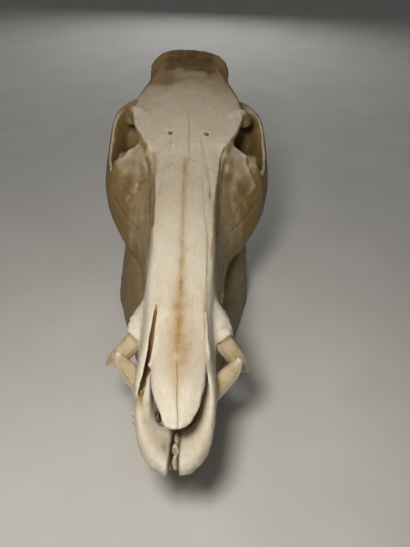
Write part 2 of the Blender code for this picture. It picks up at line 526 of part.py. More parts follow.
def mandible_forms(bm):
    both_sides(bm, jaw_half_rings())
    chin = []
    for s, half, top, low in ((19, 9, 53.5, 48), (23, 12.5, 54.5, 43), (29, 15.5, 55, 35), (38, 18, 54.5, 25),
                              (48, 19.5, 53.5, 15.5), (58, 20, 50, 8), (68, 18.5, 44, 2.5),
                              (76, 16, 34, 0.2), (84, 12, 22, 1.5)):
        mid = 0.5 * (top + low)
        outline = [(0, low), (half * 0.6, low + 1.2), (half * 0.95, mid - 1), (half * 0.95, top - 3),
(half * 0.75, top),
                   (half * 0.35, top - 3), (0, top - 4.5)]
        ring = closed_ring(outline + [(-x, z) for x, z in outline[-2:0:-1]], 36)
        chin.append(np.insert(ring, 1, s, axis=1))
    add_rings(bm, chin)
    sheath = ((12, 78, 24, 6, 6), (14.5, 64, 38, 7.2, 7.5), (16.4, 56.5, 49, 7.4, 8), (18, 55.8, 56, 7, 7.8))
    both_sides(bm, tube_rings(sheath, level=(0, 1, 0)))
    condyle = ((42, 279, 113.5, 3.4, 3.6), (48, 279, 115, 4.5, 4.2), (53.5, 278.5, 114.8, 4.6, 4.2),
               (58, 278, 112.8, 3.4, 3.4))
    both_sides(bm, tube_rings(condyle))
    angle_rim = ((54.5, 290, 78, 3, 4), (55.5, 287, 50, 3.5, 5), (57.2, 279, 26, 3.8, 5.5),
                 (59.4, 264, 9, 4, 5.5),
                 (60, 246, 4.6, 4, 5), (57.5, 228, 4.2, 4, 5))
    both_sides(bm, tube_rings(angle_rim, level=(1, 0, 0)))
    add_teeth(bm, LOWER_TEETH, 38.0, OCCLUSAL_Z - 0.9)
    incisor(bm, ((3.5, 31, 49, 3, 3), (3.5, 21.5, 53.5, 3, 3), (3.2, 16, 57, 2.4, 2.2)))
    incisor(bm, ((9.5, 32, 49, 3, 3), (9.5, 23.5, 54, 3, 3), (9, 19, 58, 2.2, 2)))
    incisor(bm, ((15, 34, 50, 2.4, 2.4), (15.5, 25, 56, 2.2, 2.2), (15.5, 22, 60, 1.4, 1.6)))


def mandible_hollows(bm):
    both_sides(bm, ball_rings((61.5, 252, 72), (7.5, 22, 34), tilt=6))
    both_sides(bm, tube_rings(((38, 224, 88, 2.2, 3), (44, 236, 80, 2.2, 3), (50, 244, 76, 2, 2.6))))
    both_sides(bm, tube_rings(((34, 84, 26, 2, 2.4), (25, 90, 25, 2, 2.4), (20, 96, 25, 1.6, 2))))


def make_mandible():
    bm = bmesh.new()
    mandible_forms(bm)
    jaw = fuse(new_object("mandible", bm), CORE_VOXEL, 4)
    bm = bmesh.new()
    mandible_hollows(bm)
    hollows = fuse(new_object("jaw_hollows", bm), CORE_VOXEL, 1)
    boolean(jaw, hollows, "DIFFERENCE", "MANIFOLD")
    fuse(jaw, FINE_VOXEL, 2)
    keep_largest(thin_out(jaw, MANDIBLE_TRIANGLES))
    for vertex in jaw.data.vertices:
        vertex.co.x -= 2.2 * MM * max(0.0, 1 - vertex.co.z / (60 * MM))
    bm = bmesh.new()
    add_rings(bm, box_rings((-90, -20, -20), (90, 380, 0)))
    return boolean(jaw, new_object("floor_side", bm), "DIFFERENCE")


def half_space(name, point, normal, size=500.0):
    """A large box that fills the side of a plane that its normal points to."""
    normal = np.asarray(normal, float) / np.linalg.norm(normal)
    helper = (0.0, 0.0, 1.0) if abs(normal[2]) < 0.9 else (1.0, 0.0, 0.0)
    a = np.cross(normal, helper)
    a /= np.linalg.norm(a)
    b = np.cross(normal, a)
    corners = [np.asarray(point, float) + size * (u * a + v * b) for u, v in ((-1, -1), (1, -1), (1, 1),
                                                                              (-1, 1))]
    bm = bmesh.new()
    add_rings(bm, [np.array(corners), np.array(corners) + size * normal])
    return new_object(name, bm)


def split(whole, name, region):
    """Parts whole by a region. region(grow) makes the cutter, grown by that many millimetres; the piece
    inside takes the name, and the gap between the two is GAP wide."""
    inside = duplicate(whole, name)
    boolean(inside, region(-GAP / 2), "INTERSECT")
    boolean(whole, region(GAP / 2), "DIFFERENCE")
    return keep_largest(inside), keep_largest(whole)


def nasal_region(side):
    """The block that holds one nasal bone: its outline seen from above, cut down to its underside."""
    def region(grow):
        bm = bmesh.new()
        rings = []
        for s in np.concatenate([[4.0], np.arange(12, 206, 6.0), [209.0, 213.0 + grow]]):
            half = curve_through(NASAL_S, NASAL_HALF, [s])[0] + grow + (0.9 if s < 100 else 0.0)
            half += np.interp(s, FLANK_S, FLANK_X) if side < 0 else 0.0
            shift = np.interp(s, SHIFT_S, SHIFT_X)
            top = core_section(max(s, 82.0))[0] if s > 82 else np.interp(s, (9, 82), (103.6, 124.5))
            low = top - np.interp(s, (0, 90, 120, 213), (9.5, 9.0, 6.0, 5.5)) - grow
            inner, outer = side * (-grow) + shift, side * half + shift
            ring = [(inner, s, low), (outer, s, low - 1.5), (outer, s, top + 30), (inner, s, top + 30)]
            rings.append(np.array(ring if side > 0 else ring[::-1], float))
        add_rings(bm, rings)
        return new_object("nasal_block", bm)
    return region


def plane_region(point, normal):
    normal = np.asarray(normal, float) / np.linalg.norm(normal)

    def region(grow):
        return half_space("side", np.asarray(point, float) - grow * normal, normal)
    return region


def snout_region(grow):
    """The block that holds both premaxillae, which lie between the snout's tip and the tusk sheaths."""
    inner = [(-10, 40), (34 + grow, 40), (109 + grow, 118), (125 + grow, 160), (-10, 160)]
    outer = [(-10, 40), (34 + grow, 40), (60 + grow, 67), (62 + grow, 160), (-10, 160)]
    bm = bmesh.new()
    add_rings(bm, [np.array([(x, s, z) for s, z in outline], float)
                   for x, outline in ((-28, outer), (-23.5, inner), (23.5, inner), (28, outer))])
    return new_object("snout_block", bm)


def cheek_region(side):
    """The block that holds one zygomatic bone, between the lacrimal and the squamosal sutures."""
    def region(grow):
        outline = [(193 - grow, 70 - grow), (302 + grow, 70 - grow), (287 + grow, 152 + grow),
(238, 152 + grow),
                   (224 - grow, 138 + grow), (204 - grow, 112)]
        bm = bmesh.new()
        add_rings(bm, [np.array([(side * x, s, z) for s, z in outline], float) for x in (44.5 - grow, 95.0)])
        return new_object("cheek_block", bm)
    return region


TUSKS = {
    "upper_canine": ((22.6, 85.2, 102.6, 6.4, 6.5), (28.2, 80.8, 97.0, 6.4, 6.5),
                     (34.6, 78.2, 90.6, 6.2, 6.3),
                     (39.8, 77.5, 84.0, 5.9, 6.0), (43.2, 77.8, 77.8, 5.4, 5.6),
                     (45.4, 78.6, 71.6, 5.0, 5.2)),
    "lower_canine": ((17.0, 55.0, 48.0, 5.6, 6.0), (17.9, 56.0, 60.0, 5.6, 6.0), (19.6, 58.0, 70.0, 5.8, 6.2),
                     (24.2, 60.0, 78.4, 6.2, 6.2), (29.4, 61.4, 86.0, 5.8, 5.8), (33.6, 62.2, 93.4, 4.7, 4.8),
                     (35.6, 62.4, 98.4, 3.4, 3.5), (36.6, 62.5, 102.4, 1.9, 2.1)),
}
TUSK_START = {"upper_canine": (27.4, 81.3, 97.8), "lower_canine": (18.2, 55.8, 58.5)}
TUSK_WAY = {"upper_canine": (0.66, -0.42, -0.62), "lower_canine": (0.14, 0.08, 0.99)}

# The tusks are worn unevenly: how far each side's spreads or rises, next to the animal's right.
TUSK_SPREAD = {"upper_canine": {1: 0.84, -1: 1.0}, "lower_canine": {1: 1.04, -1: 1.0}}
TUSK_RISE = {"upper_canine": {1: 1.0, -1: 1.0}, "lower_canine": {1: 0.92, -1: 1.0}}

# The upper tusks are ground to a flat end, lower on the animal's left: its height 78 mm behind the tip.
FACET_NORMAL = (0.1, -0.66, -0.74)
FACET_Z = {1: 72.4, -1: 75.6}


def tusk(kind, side, grow=0.0):
    root_x, _, root_z = TUSK_START[kind]
    spread, rise = TUSK_SPREAD[kind][side], TUSK_RISE[kind][side]
    path = [(side * (root_x + spread * (x - root_x)), s, root_z + rise * (z - root_z), w + grow, h + grow)
            for x, s, z, w, h in TUSKS[kind]]
    bm = bmesh.new()
    add_rings(bm, tube_rings(path, 12, 3, level=(0, 1, 0)))
    return new_object(kind, bm)


def make_tusks(kind, jaw_pieces):
    """Each tusk starts at the rim of its sheath, which is cut square to the tusk and clear of it."""
    made = []
    for side, word in ((1, "left"), (-1, "right")):
        start = np.array(TUSK_START[kind]) * (side, 1, 1)
        way = np.array(TUSK_WAY[kind]) * (side, 1, 1)
        tooth = tusk(kind, side)
        tooth.name = f"{kind}_{word}"
        boolean(tooth, half_space("out", start, way), "INTERSECT")
        if kind == "upper_canine":
            facet = np.array(FACET_NORMAL) * (side, 1, 1)
            worn = half_space("worn", (45.0 * side, 78.0, FACET_Z[side]), facet)
            boolean(tooth, worn, "DIFFERENCE")
        room = tusk(kind, side, grow=0.8)
        boolean(room, half_space("out", start - way * GAP, way), "INTERSECT")
        for piece in jaw_pieces:
            boolean(piece, room, "DIFFERENCE", keep=True)
        bpy.data.objects.remove(room)
        made.append(keep_largest(tooth))
    return made


def material(name, colour, roughness):
    made = bpy.data.materials.new(name)
    made.use_nodes = True
    shader = made.node_tree.nodes["Principled BSDF"]
    shader.inputs["Base Color"].default_value = colour
    shader.inputs["Roughness"].default_value = roughness
    shader.inputs["Metallic"].default_value = 0.0
    return made


def stand_on_origin(pieces):
    """Moves the whole skull so that the middle of its footprint is the origin."""
    corners = np.array([v.co for piece in pieces for v in piece.data.vertices])
    low, high = corners.min(0), corners.max(0)
    middle = (low + high) / 2
    for piece in pieces:
        for vertex in piece.data.vertices:
            vertex.co.x -= middle[0]
            vertex.co.y -= middle[1]
            vertex.co.z -= low[2]


def main():
    for thing in list(bpy.data.objects):
        bpy.data.objects.remove(thing)
    whole = make_cranium()
    pieces = []
    for side, word in ((1, "left"), (-1, "right")):
        nasal, whole = split(whole, f"nasal_{word}", nasal_region(side))
        pieces.append(nasal)
    front, whole = split(whole, "front", plane_region((0, 212, 161), (0, -1, -0.14)))
    for side, word in ((1, "left"), (-1, "right")):
        cheek, whole = split(whole, f"zygomatic_{word}", cheek_region(side))
        pieces.append(cheek)
    whole.name = "braincase"
    snout, maxilla = split(front, "snout", snout_region)
    maxilla.name = "maxilla"
    left, right = split(snout, "premaxilla_left", plane_region((0, 0, 0), (1, 0, 0)))
    right.name = "premaxilla_right"
    jaw = make_mandible()
    uppers = make_tusks("upper_canine", [maxilla, left, right])
    lowers = make_tusks("lower_canine", [jaw, maxilla, left, right])
    bones = pieces + [whole, maxilla, left, right, jaw]
    bone = material("bone", BONE_COLOUR, 0.55)
    ivory = material("tusk_ivory", TOOTH_COLOUR, 0.35)
    for piece in bones + uppers + lowers:
        keep_largest(piece)
        piece.data.materials.clear()
        piece.data.materials.append(bone if piece in bones else ivory)
        piece.data.shade_smooth()
    stand_on_origin(bones + uppers + lowers)


main()
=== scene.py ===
"""Dresses a wild boar skull: weathered bone, worn enamel and ivory tusks on a pale studio floor.

Points are written (x, s, z) in millimetres, as in the part's source: x across with the animal's left
at +x, s the distance behind the snout's tip, z above the floor.
"""

import bmesh
import bpy
import numpy as np
from mathutils import Matrix


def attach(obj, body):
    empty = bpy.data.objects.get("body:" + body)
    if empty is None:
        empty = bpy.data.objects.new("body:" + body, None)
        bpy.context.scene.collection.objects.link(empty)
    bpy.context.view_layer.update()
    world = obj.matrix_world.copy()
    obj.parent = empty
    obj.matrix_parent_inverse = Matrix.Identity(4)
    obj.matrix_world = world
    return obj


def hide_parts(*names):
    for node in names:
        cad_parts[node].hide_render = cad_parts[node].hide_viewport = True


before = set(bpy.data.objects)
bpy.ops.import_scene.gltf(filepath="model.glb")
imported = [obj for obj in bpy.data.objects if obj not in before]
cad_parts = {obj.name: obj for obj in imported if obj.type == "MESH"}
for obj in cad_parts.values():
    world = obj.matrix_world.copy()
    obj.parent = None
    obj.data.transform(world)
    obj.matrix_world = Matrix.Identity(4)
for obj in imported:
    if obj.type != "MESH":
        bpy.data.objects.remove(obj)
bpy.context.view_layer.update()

MM = 0.001
SNOUT_TO_ORIGIN = 175.9
FLOOR_GAP = 0.0002


# Places, noise and strokes

def to_world(points):
    """From (x, s, z) in millimetres to metres in the part's frame."""
    points = np.asarray(points, float)
    return (points - (0.0, SNOUT_TO_ORIGIN, 0.0)) * MM


def hashed(cell, seed):
    """One number from -1 to 1 for each whole-numbered cell, by mixing the bits of its three indices."""
    cell = cell.astype(np.int64)
    mixed = cell[:, 0] * 73856093 ^ cell[:, 1] * 19349663 ^ cell[:, 2] * 83492791 ^ (seed * 2654435761)
    mixed &= 0xFFFFFFFF
    mixed = ((mixed ^ (mixed >> 15)) * 0x2C1B3C6D) & 0xFFFFFFFF
    mixed = ((mixed ^ (mixed >> 12)) * 0x297A2D39) & 0xFFFFFFFF
    return (mixed ^ (mixed >> 15)) / 0x7FFFFFFF - 1.0


def lumps(points, size, seed, stretch=(1.0, 1.0, 1.0)):
    """Smooth value noise: random numbers on a lattice size mm wide, blended by t*t*(3 - 2t)."""
    at = np.asarray(points, float) / (size * np.asarray(stretch, float))
    low = np.floor(at)
    t = at - low
    t = t * t * (3 - 2 * t)
    total = np.zeros(len(at))
    for i in (0, 1):
        for j in (0, 1):
            for k in (0, 1):
                corner = (i, j, k)
                weight = np.where(corner, t, 1 - t).prod(1)
                total += weight * hashed(low + corner, seed)
    return total


def rough(points, size, seed, stretch=(1.0, 1.0, 1.0)):
    """Three sizes of lumps, each half as large and half as strong as the one before."""
    return sum(0.5 ** k * lumps(points, size / 2 ** k, seed + k, stretch) for k in range(3))


def smooth_step(values, low, high):
    """0 up to low, 1 from high on, and a soft S between."""
    t = np.clip((values - low) / (high - low), 0.0, 1.0)
    return t * t * (3 - 2 * t)


def fade_out(values, low, high):
    """1 up to low, 0 from high on."""
    return 1 - smooth_step(values, low, high)


# Which two of x, s and z a view shows, which one it looks along, and from which end.
VIEWS = {"top": (0, 1, 2, 1), "side": (1, 2, 0, 1), "front": (0, 2, 1, -1), "back": (0, 2, 1, 1)}


def line_distance(flat, path):
    """Signed distance from flat points to a broken line, positive on its left, and how far along it."""
    path = np.asarray(path, float)
    best = np.full(len(flat), 1e9)
    signed = np.zeros(len(flat))
    along = np.zeros(len(flat))
    steps = np.linalg.norm(np.diff(path, axis=0), axis=1)
    total = steps.sum()
    done = 0.0
    for a, b, length in zip(path, path[1:], steps):
        way = (b - a) / length
        rel = flat - a
        t = np.clip(rel @ way, 0, length)
        off = rel - t[:, None] * way
        gap = np.hypot(off[:, 0], off[:, 1])
        side = np.where(way[0] * rel[:, 1] - way[1] * rel[:, 0] >= 0, 1.0, -1.0)
        closer = gap < best
        best = np.where(closer, gap, best)
        signed = np.where(closer, gap * side, signed)
        along = np.where(closer, (done + t) / total, along)
        done += length
    return signed, along


def seen_in(points, normals, view, both=True):
    """The two coordinates that a view shows, a mask of what faces it, and the points on one side."""
    u, v, depth, way = VIEWS[view]
    p = points.copy()
    n = normals.copy()
    if both or view == "side":
        n[:, 0] = np.where(p[:, 0] < 0, -n[:, 0], n[:, 0])
        p[:, 0] = np.abs(p[:, 0])
    return p[:, [u, v]], smooth_step(n[:, depth] * way, 0.05, 0.4), p


def stroke(points, normals, view, path, width, both=True):
    """How strongly a drawn line is felt: exp(-(distance / width)^2), fading towards its two ends."""
    flat, facing, _ = seen_in(points, normals, view, both)
    signed, along = line_distance(flat, path)
    ends = smooth_step(along, 0.0, 0.12) * smooth_step(1 - along, 0.0, 0.12)
    return np.exp(-(signed / width) ** 2) * facing * ends


def trace(points, path, width, taper=True):
    """How strongly a line through space is felt: exp(-(distance / width)^2), fading towards its ends."""
    path = np.asarray(path, float)
    nearest = np.full(len(points), 1e9)
    along = np.zeros(len(points))
    done = 0.0
    for a, b in zip(path, path[1:]):
        length = np.linalg.norm(b - a)
        t = np.clip((points - a) @ (b - a) / length, 0, length)
        gap = np.linalg.norm(points - a - t[:, None] * (b - a) / length, axis=1)
        closer = gap < nearest
        nearest = np.where(closer, gap, nearest)
        along = np.where(closer, done + t, along)
        done += length
    felt = np.exp(-(nearest / width) ** 2)
    if taper:
        felt *= smooth_step(along, 0.0, 2 * width) * smooth_step(done - along, 0.0, 2 * width)
    return felt


def dent(points, centre, radii, both=True):
    """A rounded hollow or swelling: exp(-(scaled distance)^2)."""
    p = points.copy()
    if both:
        p[:, 0] = np.abs(p[:, 0])
    scaled = (p - np.asarray(centre, float)) / np.asarray(radii, float)
    return np.exp(-(scaled ** 2).sum(1))


def strokes(points, normals, rows):
    """The sum of drawn lines, each given as strength, view, width, whether it is on both sides, and path."""
    return sum(strength * stroke(points, normals, view, path, width, both)
               for strength, view, width, both, path in rows)


def traces(points, rows):
    """The sum of lines through space, each given as strength, width and path."""
    return sum(strength * trace(points, path, width) for strength, width, path in rows)


def dents(points, rows, both=False):
    """The sum of rounded spots, each given as strength, centre and radii."""
    return sum(strength * dent(points, centre, radii, both) for strength, centre, radii in rows)


# Meshes

def link(name, data):
    made = bpy.data.objects.new(name, data)
    bpy.context.scene.collection.objects.link(made)
    return made


def applied(target):
    """Keeps the evaluated mesh and drops the modifiers."""
    graph = bpy.context.evaluated_depsgraph_get()
    mesh = bpy.data.meshes.new_from_object(target.evaluated_get(graph))
    target.modifiers.clear()
    old = target.data
    target.data = mesh
    bpy.data.meshes.remove(old)


def read_points(mesh):
    flat = np.empty(len(mesh.vertices) * 3)
    mesh.vertices.foreach_get("co", flat)
    return flat.reshape(-1, 3) / MM + (0.0, SNOUT_TO_ORIGIN, 0.0)


def write_points(mesh, points):
    mesh.vertices.foreach_set("co", to_world(points).astype(np.float32).ravel())
    mesh.update()


def edges_of(mesh):
    ends = np.empty(len(mesh.edges) * 2, np.int32)
    mesh.edges.foreach_get("vertices", ends)
    return ends.reshape(-1, 2)


def normals_of(mesh):
    flat = np.empty(len(mesh.vertices) * 3, np.float32)
    mesh.vertex_normals.foreach_get("vector", flat)
    return flat.reshape(-1, 3).astype(float)


def neighbour_mean(values, edges):
    """The mean of what the joined points hold."""
    count = len(values)
    a, b = edges.T
    total = np.stack([np.bincount(a, column[b], count) + np.bincount(b, column[a], count)
                      for column in values.T], 1)
    share = np.bincount(a, minlength=count) + np.bincount(b, minlength=count)
    return total / np.maximum(share, 1)[:, None]


def eased(points, edges, rounds, pull=0.6, push=-0.62):
    """Taubin's smoothing: one step towards the neighbours' mean and one slightly larger step back."""
    for _ in range(rounds):
        for step in (pull, push):
            points = points + step * (neighbour_mean(points, edges) - points)
    return points


def settled(points, edges, weight, rounds):
    """Draws points towards their neighbours' mean, as strongly as each one's weight says."""
    near = weight > 0.01
    kept = near[edges[:, 0]] | near[edges[:, 1]]
    ends = edges[kept]
    used, small = np.unique(ends, return_inverse=True)
    small = small.reshape(-1, 2)
    some, pull = points[used], 0.6 * weight[used][:, None]
    for _ in range(rounds):
        some = some + pull * (neighbour_mean(some, small) - some)
    points = points.copy()
    points[used] = some
    return points


def hollowness(points, normals, edges, rounds):
    """How far a point lies below its surroundings along its normal, in mm, after so many means."""
    wide = points
    for _ in range(rounds):
        wide = neighbour_mean(wide, edges)
    return ((wide - points) * normals).sum(1)


def fewer(target, triangles):
    """Merges the flattest triangles first until no more than so many are left."""
    target.modifiers.new("triangles", "TRIANGULATE")
    applied(target)
    if len(target.data.polygons) > triangles:
        collapse = target.modifiers.new("fewer", "DECIMATE")
        collapse.ratio = triangles / len(target.data.polygons)
        applied(target)


def bones_as_one(name, nodes, voxel, spread, rounds):
    """Copies of the nodes, each grown by spread mm to meet the next, melted to one skin and eased."""
    bm = bmesh.new()
    for node in nodes:
        part = bmesh.new()
        part.from_mesh(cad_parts[node].data)
        bmesh.ops.remove_doubles(part, verts=part.verts[:], dist=1e-6)
        part.normal_update()
        shifted = [v.co + v.normal * spread * MM for v in part.verts]
        for vert, place in zip(part.verts, shifted):
            vert.co = place
        mesh = bpy.data.meshes.new("part")
        part.to_mesh(mesh)
        part.free()
        bm.from_mesh(mesh)
        bpy.data.meshes.remove(mesh)
    mesh = bpy.data.meshes.new(name)
    bm.to_mesh(mesh)
    bm.free()
    made = link(name, mesh)
    remesh = made.modifiers.new("one_skin", "REMESH")
    remesh.mode = "VOXEL"
    remesh.voxel_size = voxel * MM
    applied(made)
    points, edges = read_points(made.data), edges_of(made.data)
    write_points(made.data, eased(points, edges, rounds))
    return made


def surface(name, rows):
    """A grid of points (rows, columns, xyz) as a mesh: columns close round, and both ends are capped."""
    rows = np.asarray(rows, float)
    count, around = rows.shape[:2]
    points = rows.reshape(-1, 3)
    i = np.arange(count - 1)[:, None] * around
    j = np.arange(around)[None, :]
    nxt = (j + 1) % around
    quads = np.stack([i + j, i + nxt, i + around + nxt, i + around + j], -1).reshape(-1, 4)
    first, last = len(points), len(points) + 1
    points = np.vstack([points, rows[0].mean(0), rows[-1].mean(0)])
    ring = np.arange(around)
    base = (count - 1) * around
    start = np.stack([np.full(around, first), (ring + 1) % around, ring], 1)
    end = np.stack([np.full(around, last), base + ring, base + (ring + 1) % around], 1)
    mesh = bpy.data.meshes.new(name)
    mesh.from_pydata(to_world(points), [], quads.tolist() + start.tolist() + end.tolist())
    mesh.validate()
    bm = bmesh.new()
    bm.from_mesh(mesh)
    bmesh.ops.recalc_face_normals(bm, faces=bm.faces[:])
    bm.to_mesh(mesh)
    bm.free()
    return mesh


def cut_away(target, cutter):
    """Takes the cutter's solid out of the target and drops the cutter."""
    hole = link("cutter", cutter)
    boolean = target.modifiers.new("cut", "BOOLEAN")
    boolean.operation, boolean.solver, boolean.object = "DIFFERENCE", "MANIFOLD", hole
    applied(target)
    bpy.data.objects.remove(hole)


def joined(name, meshes):
    """One object of several meshes."""
    bm = bmesh.new()
    for mesh in meshes:
        bm.from_mesh(mesh)
        bpy.data.meshes.remove(mesh)
    whole = bpy.data.meshes.new(name)
    bm.to_mesh(whole)
    bm.free()
    return link(name, whole)


def keep_value(mesh, name, values):
    """Stores one number per vertex for the material to read."""
    layer = mesh.attributes.new(name, "FLOAT", "POINT")
    layer.data.foreach_set("value", np.asarray(values, np.float32))


# Materials

def linear(hex_colour):
    """sRGB hex to linear RGBA."""
    parts = [int(hex_colour[k:k + 2], 16) / 255 for k in (1, 3, 5)]
    return tuple(c / 12.92 if c <= 0.04045 else ((c + 0.055) / 1.055) ** 2.4 for c in parts) + (1.0,)


def add(tree, kind, inputs=None, **settings):
    """Adds a node; inputs maps a socket's name or number to a value or to another node's output."""
    node = tree.nodes.new("ShaderNode" + kind)
    for key, value in settings.items():
        setattr(node, key, value)
    for key, value in (inputs or {}).items():
        socket = node.inputs[key]
        if isinstance(value, bpy.types.NodeSocket):
            tree.links.new(value, socket)
        else:
            socket.default_value = value
    return node


def mix(tree, factor, one, two, blend="MIX"):
    """Mixes two colours, each a hex or a socket, by a factor."""
    one, two = (linear(c) if isinstance(c, str) else c for c in (one, two))
    node = add(tree, "Mix", {0: factor, 6: one, 7: two}, data_type="RGBA", blend_type=blend)
    return node.outputs[2]


def math(tree, operation, *values, clamp=False):
    return add(tree, "Math", dict(enumerate(values)), operation=operation, use_clamp=clamp).outputs[0]


def ramp(tree, value, low, high, to_low=0.0, to_high=1.0):
    """Maps low..high to to_low..to_high along a soft S."""
    return add(tree, "MapRange", {0: value, 1: low, 2: high, 3: to_low, 4: to_high},
               interpolation_type="SMOOTHSTEP").outputs[0]


def attribute(tree, name):
    return add(tree, "Attribute", attribute_name=name).outputs["Fac"]


def noise(tree, where, size_mm, detail=3.0, roughness=0.6):
    """Noise whose patches are about size_mm across."""
    return add(tree, "TexNoise", {"Vector": where, "Scale": 1.0 / (size_mm * MM), "Detail": detail,
                                  "Roughness": roughness}).outputs["Fac"]


def blank_material(name):
    made = bpy.data.materials.new(name)
    made.use_nodes = True
    tree = made.node_tree
    shader = tree.nodes["Principled BSDF"]
    where = add(tree, "TexCoord").outputs["Object"]
    return made, tree, shader, where


def stretched(tree, where, scale):
    return add(tree, "Mapping", {"Vector": where, "Scale": scale}).outputs[0]


# Small holes for nerves and vessels, their insides painted dark brown as shade: centre (x, s, z) and radius.
SHADED_HOLES = (((-13.5, 242.6, 170.6), 1.5), ((16.2, 242.9, 170.6), 1.6), ((-10.4, 36.0, 80.5), 2.5),
              ((-9.8, 32.4, 80.0), 2.3), ((-9.2, 35.0, 75.5), 3.6), ((-9.2, 39.0, 74.0), 3.6))


def bone_material():
    """Bone, boiled clean and dried: matt, cream where handled and bleached, ochre and olive where fat and soil
    have soaked in, with pores, hairline cracks and a faint grain that runs along each bone. Its tints also
    carry painted light: highlight on upturned faces and ridges, shade in hollows, grooves and holes, on flanks
    and under overhangs, and a cast shadow beside the nose."""
    made, tree, shader, where = blank_material("dry_bone_boiled_and_weathered")
    seam, seam_strength = attribute(tree, "seam"), attribute(tree, "seam_strength")
    broad = noise(tree, where, 26, 4)
    patch = noise(tree, where, 8, 5, 0.65)
    fine = noise(tree, where, 1.6, 4, 0.7)
    grain = noise(tree, stretched(tree, where, (1.0, 0.16, 1.0)), 1.5, 3, 0.6)
    colour = mix(tree, ramp(tree, broad, 0.36, 0.66), "#d2c7b1", "#c6b699")
    colour = mix(tree, ramp(tree, patch, 0.48, 0.72, 0.0, 0.4), colour, "#c0ab86")
    # each tint lies over the ones before, as strongly as its attribute says, broken up by a texture
    # painted light in these tints: the cream is partly painted highlight; the olive, the two browns and the
    # ochre are partly painted shade and shadow; the darkest brown is mostly painted shade
    layers = (("pale", patch, (0.3, 0.62, 0.6, 1.0), "#e2dac9"),
              ("olive", patch, (0.25, 0.7, 0.7, 1.0), mix(tree, patch, "#988052", "#84693c")),
              ("stain_and_shade", patch, (0.3, 0.62, 0.45, 1.1),
               mix(tree, ramp(tree, patch, 0.4, 0.6), "#7b6039", "#957a4e")),
              ("ochre", patch, (0.3, 0.65, 0.65, 1.0), "#a5844e"),
              ("shade_and_grime", fine, (0.25, 0.7, 0.75, 1.0), "#4a371e"))
    for name, texture, span, tint in layers:
        share = math(tree, "MULTIPLY", attribute(tree, name), ramp(tree, texture, *span), clamp=True)
        colour = mix(tree, share, colour, tint)
    near_seam = ramp(tree, math(tree, "ABSOLUTE", seam), 0.1, 0.6, 1.0, 0.0)
    line = math(tree, "MULTIPLY", near_seam, seam_strength)
    broken = math(tree, "MULTIPLY", line, ramp(tree, patch, 0.3, 0.55, 0.55, 1.0))
    colour = mix(tree, broken, colour, "#6f5634")
    shade = ramp(tree, grain, 0.25, 0.75, 0.93, 1.05)
    grey = add(tree, "CombineColor", {0: shade, 1: shade, 2: shade}).outputs[0]
    colour = mix(tree, 1.0, colour, grey, "MULTIPLY")
    cells = add(tree, "TexVoronoi", {"Vector": where, "Scale": 1.0 / (2.2 * MM), "Randomness": 1.0})
    pores = ramp(tree, cells.outputs["Distance"], 0.06, 0.2, 1.0, 0.0)
    open_pores = math(tree, "MULTIPLY", pores, ramp(tree, patch, 0.5, 0.66))
    colour = mix(tree, math(tree, "MULTIPLY", open_pores, 0.5), colour, "#6f5a3a")
    # painted shade: each small hole's inside is darkened to dark brown
    for hole, radius in SHADED_HOLES:
        gap = add(tree, "VectorMath", {0: where, 1: tuple(to_world(hole))}, operation="DISTANCE")
        dark = ramp(tree, gap.outputs["Value"], 0.75 * radius * MM, 1.1 * radius * MM, 0.95, 0.0)
        colour = mix(tree, dark, colour, "#2c2013")
    tree.links.new(colour, shader.inputs["Base Color"])
    tree.links.new(ramp(tree, fine, 0.3, 0.7, 0.5, 0.68), shader.inputs["Roughness"])
    height = math(tree, "ADD", math(tree, "MULTIPLY", fine, 0.35), math(tree, "MULTIPLY", grain, 0.5))
    height = math(tree, "SUBTRACT", height, math(tree, "MULTIPLY", open_pores, 0.8))
    height = math(tree, "SUBTRACT", height, math(tree, "MULTIPLY", line, 0.9))
    bump = add(tree, "Bump", {"Height": height, "Strength": 0.55, "Distance": 0.35 * MM})
    tree.links.new(bump.outputs[0], shader.inputs["Normal"])
    shader.inputs["IOR"].default_value = 1.5
    shader.inputs["Specular IOR Level"].default_value = 0.35
    return made


def ivory_material():
    """Tusk ivory under worn enamel: a harder gloss than bone, with growth lines along and faint rings."""
    made, tree, shader, where = blank_material("tusk_ivory_grown_and_rubbed")
    along, age, white = attribute(tree, "round"), attribute(tree, "along"), attribute(tree, "white")
    patch = noise(tree, where, 6, 4)
    fine = noise(tree, where, 1.2, 3)
    stripes = add(tree, "TexNoise", {"W": math(tree, "MULTIPLY", along, 9.0), "Scale": 1.0, "Detail": 3.0},
                  noise_dimensions="1D").outputs["Fac"]
    colour = mix(tree, ramp(tree, patch, 0.42, 0.7), "#d0c1a4", "#bd9f66")
    colour = mix(tree, ramp(tree, stripes, 0.45, 0.7, 0.0, 0.4), colour, "#9c7c48")
    colour = mix(tree, ramp(tree, age, 0.0, 0.1, 0.7, 0.0), colour, "#8f6f4a")
    colour = mix(tree, math(tree, "MULTIPLY", white, 0.85), colour, "#e0d6c2")
    tree.links.new(colour, shader.inputs["Base Color"])
    tree.links.new(ramp(tree, fine, 0.3, 0.7, 0.28, 0.42), shader.inputs["Roughness"])
    height = math(tree, "ADD", math(tree, "MULTIPLY", stripes, 1.0), math(tree, "MULTIPLY", fine, 0.25))
    bump = add(tree, "Bump", {"Height": height, "Strength": 0.5, "Distance": 0.3 * MM})
    tree.links.new(bump.outputs[0], shader.inputs["Normal"])
    shader.inputs["IOR"].default_value = 1.54
    return made


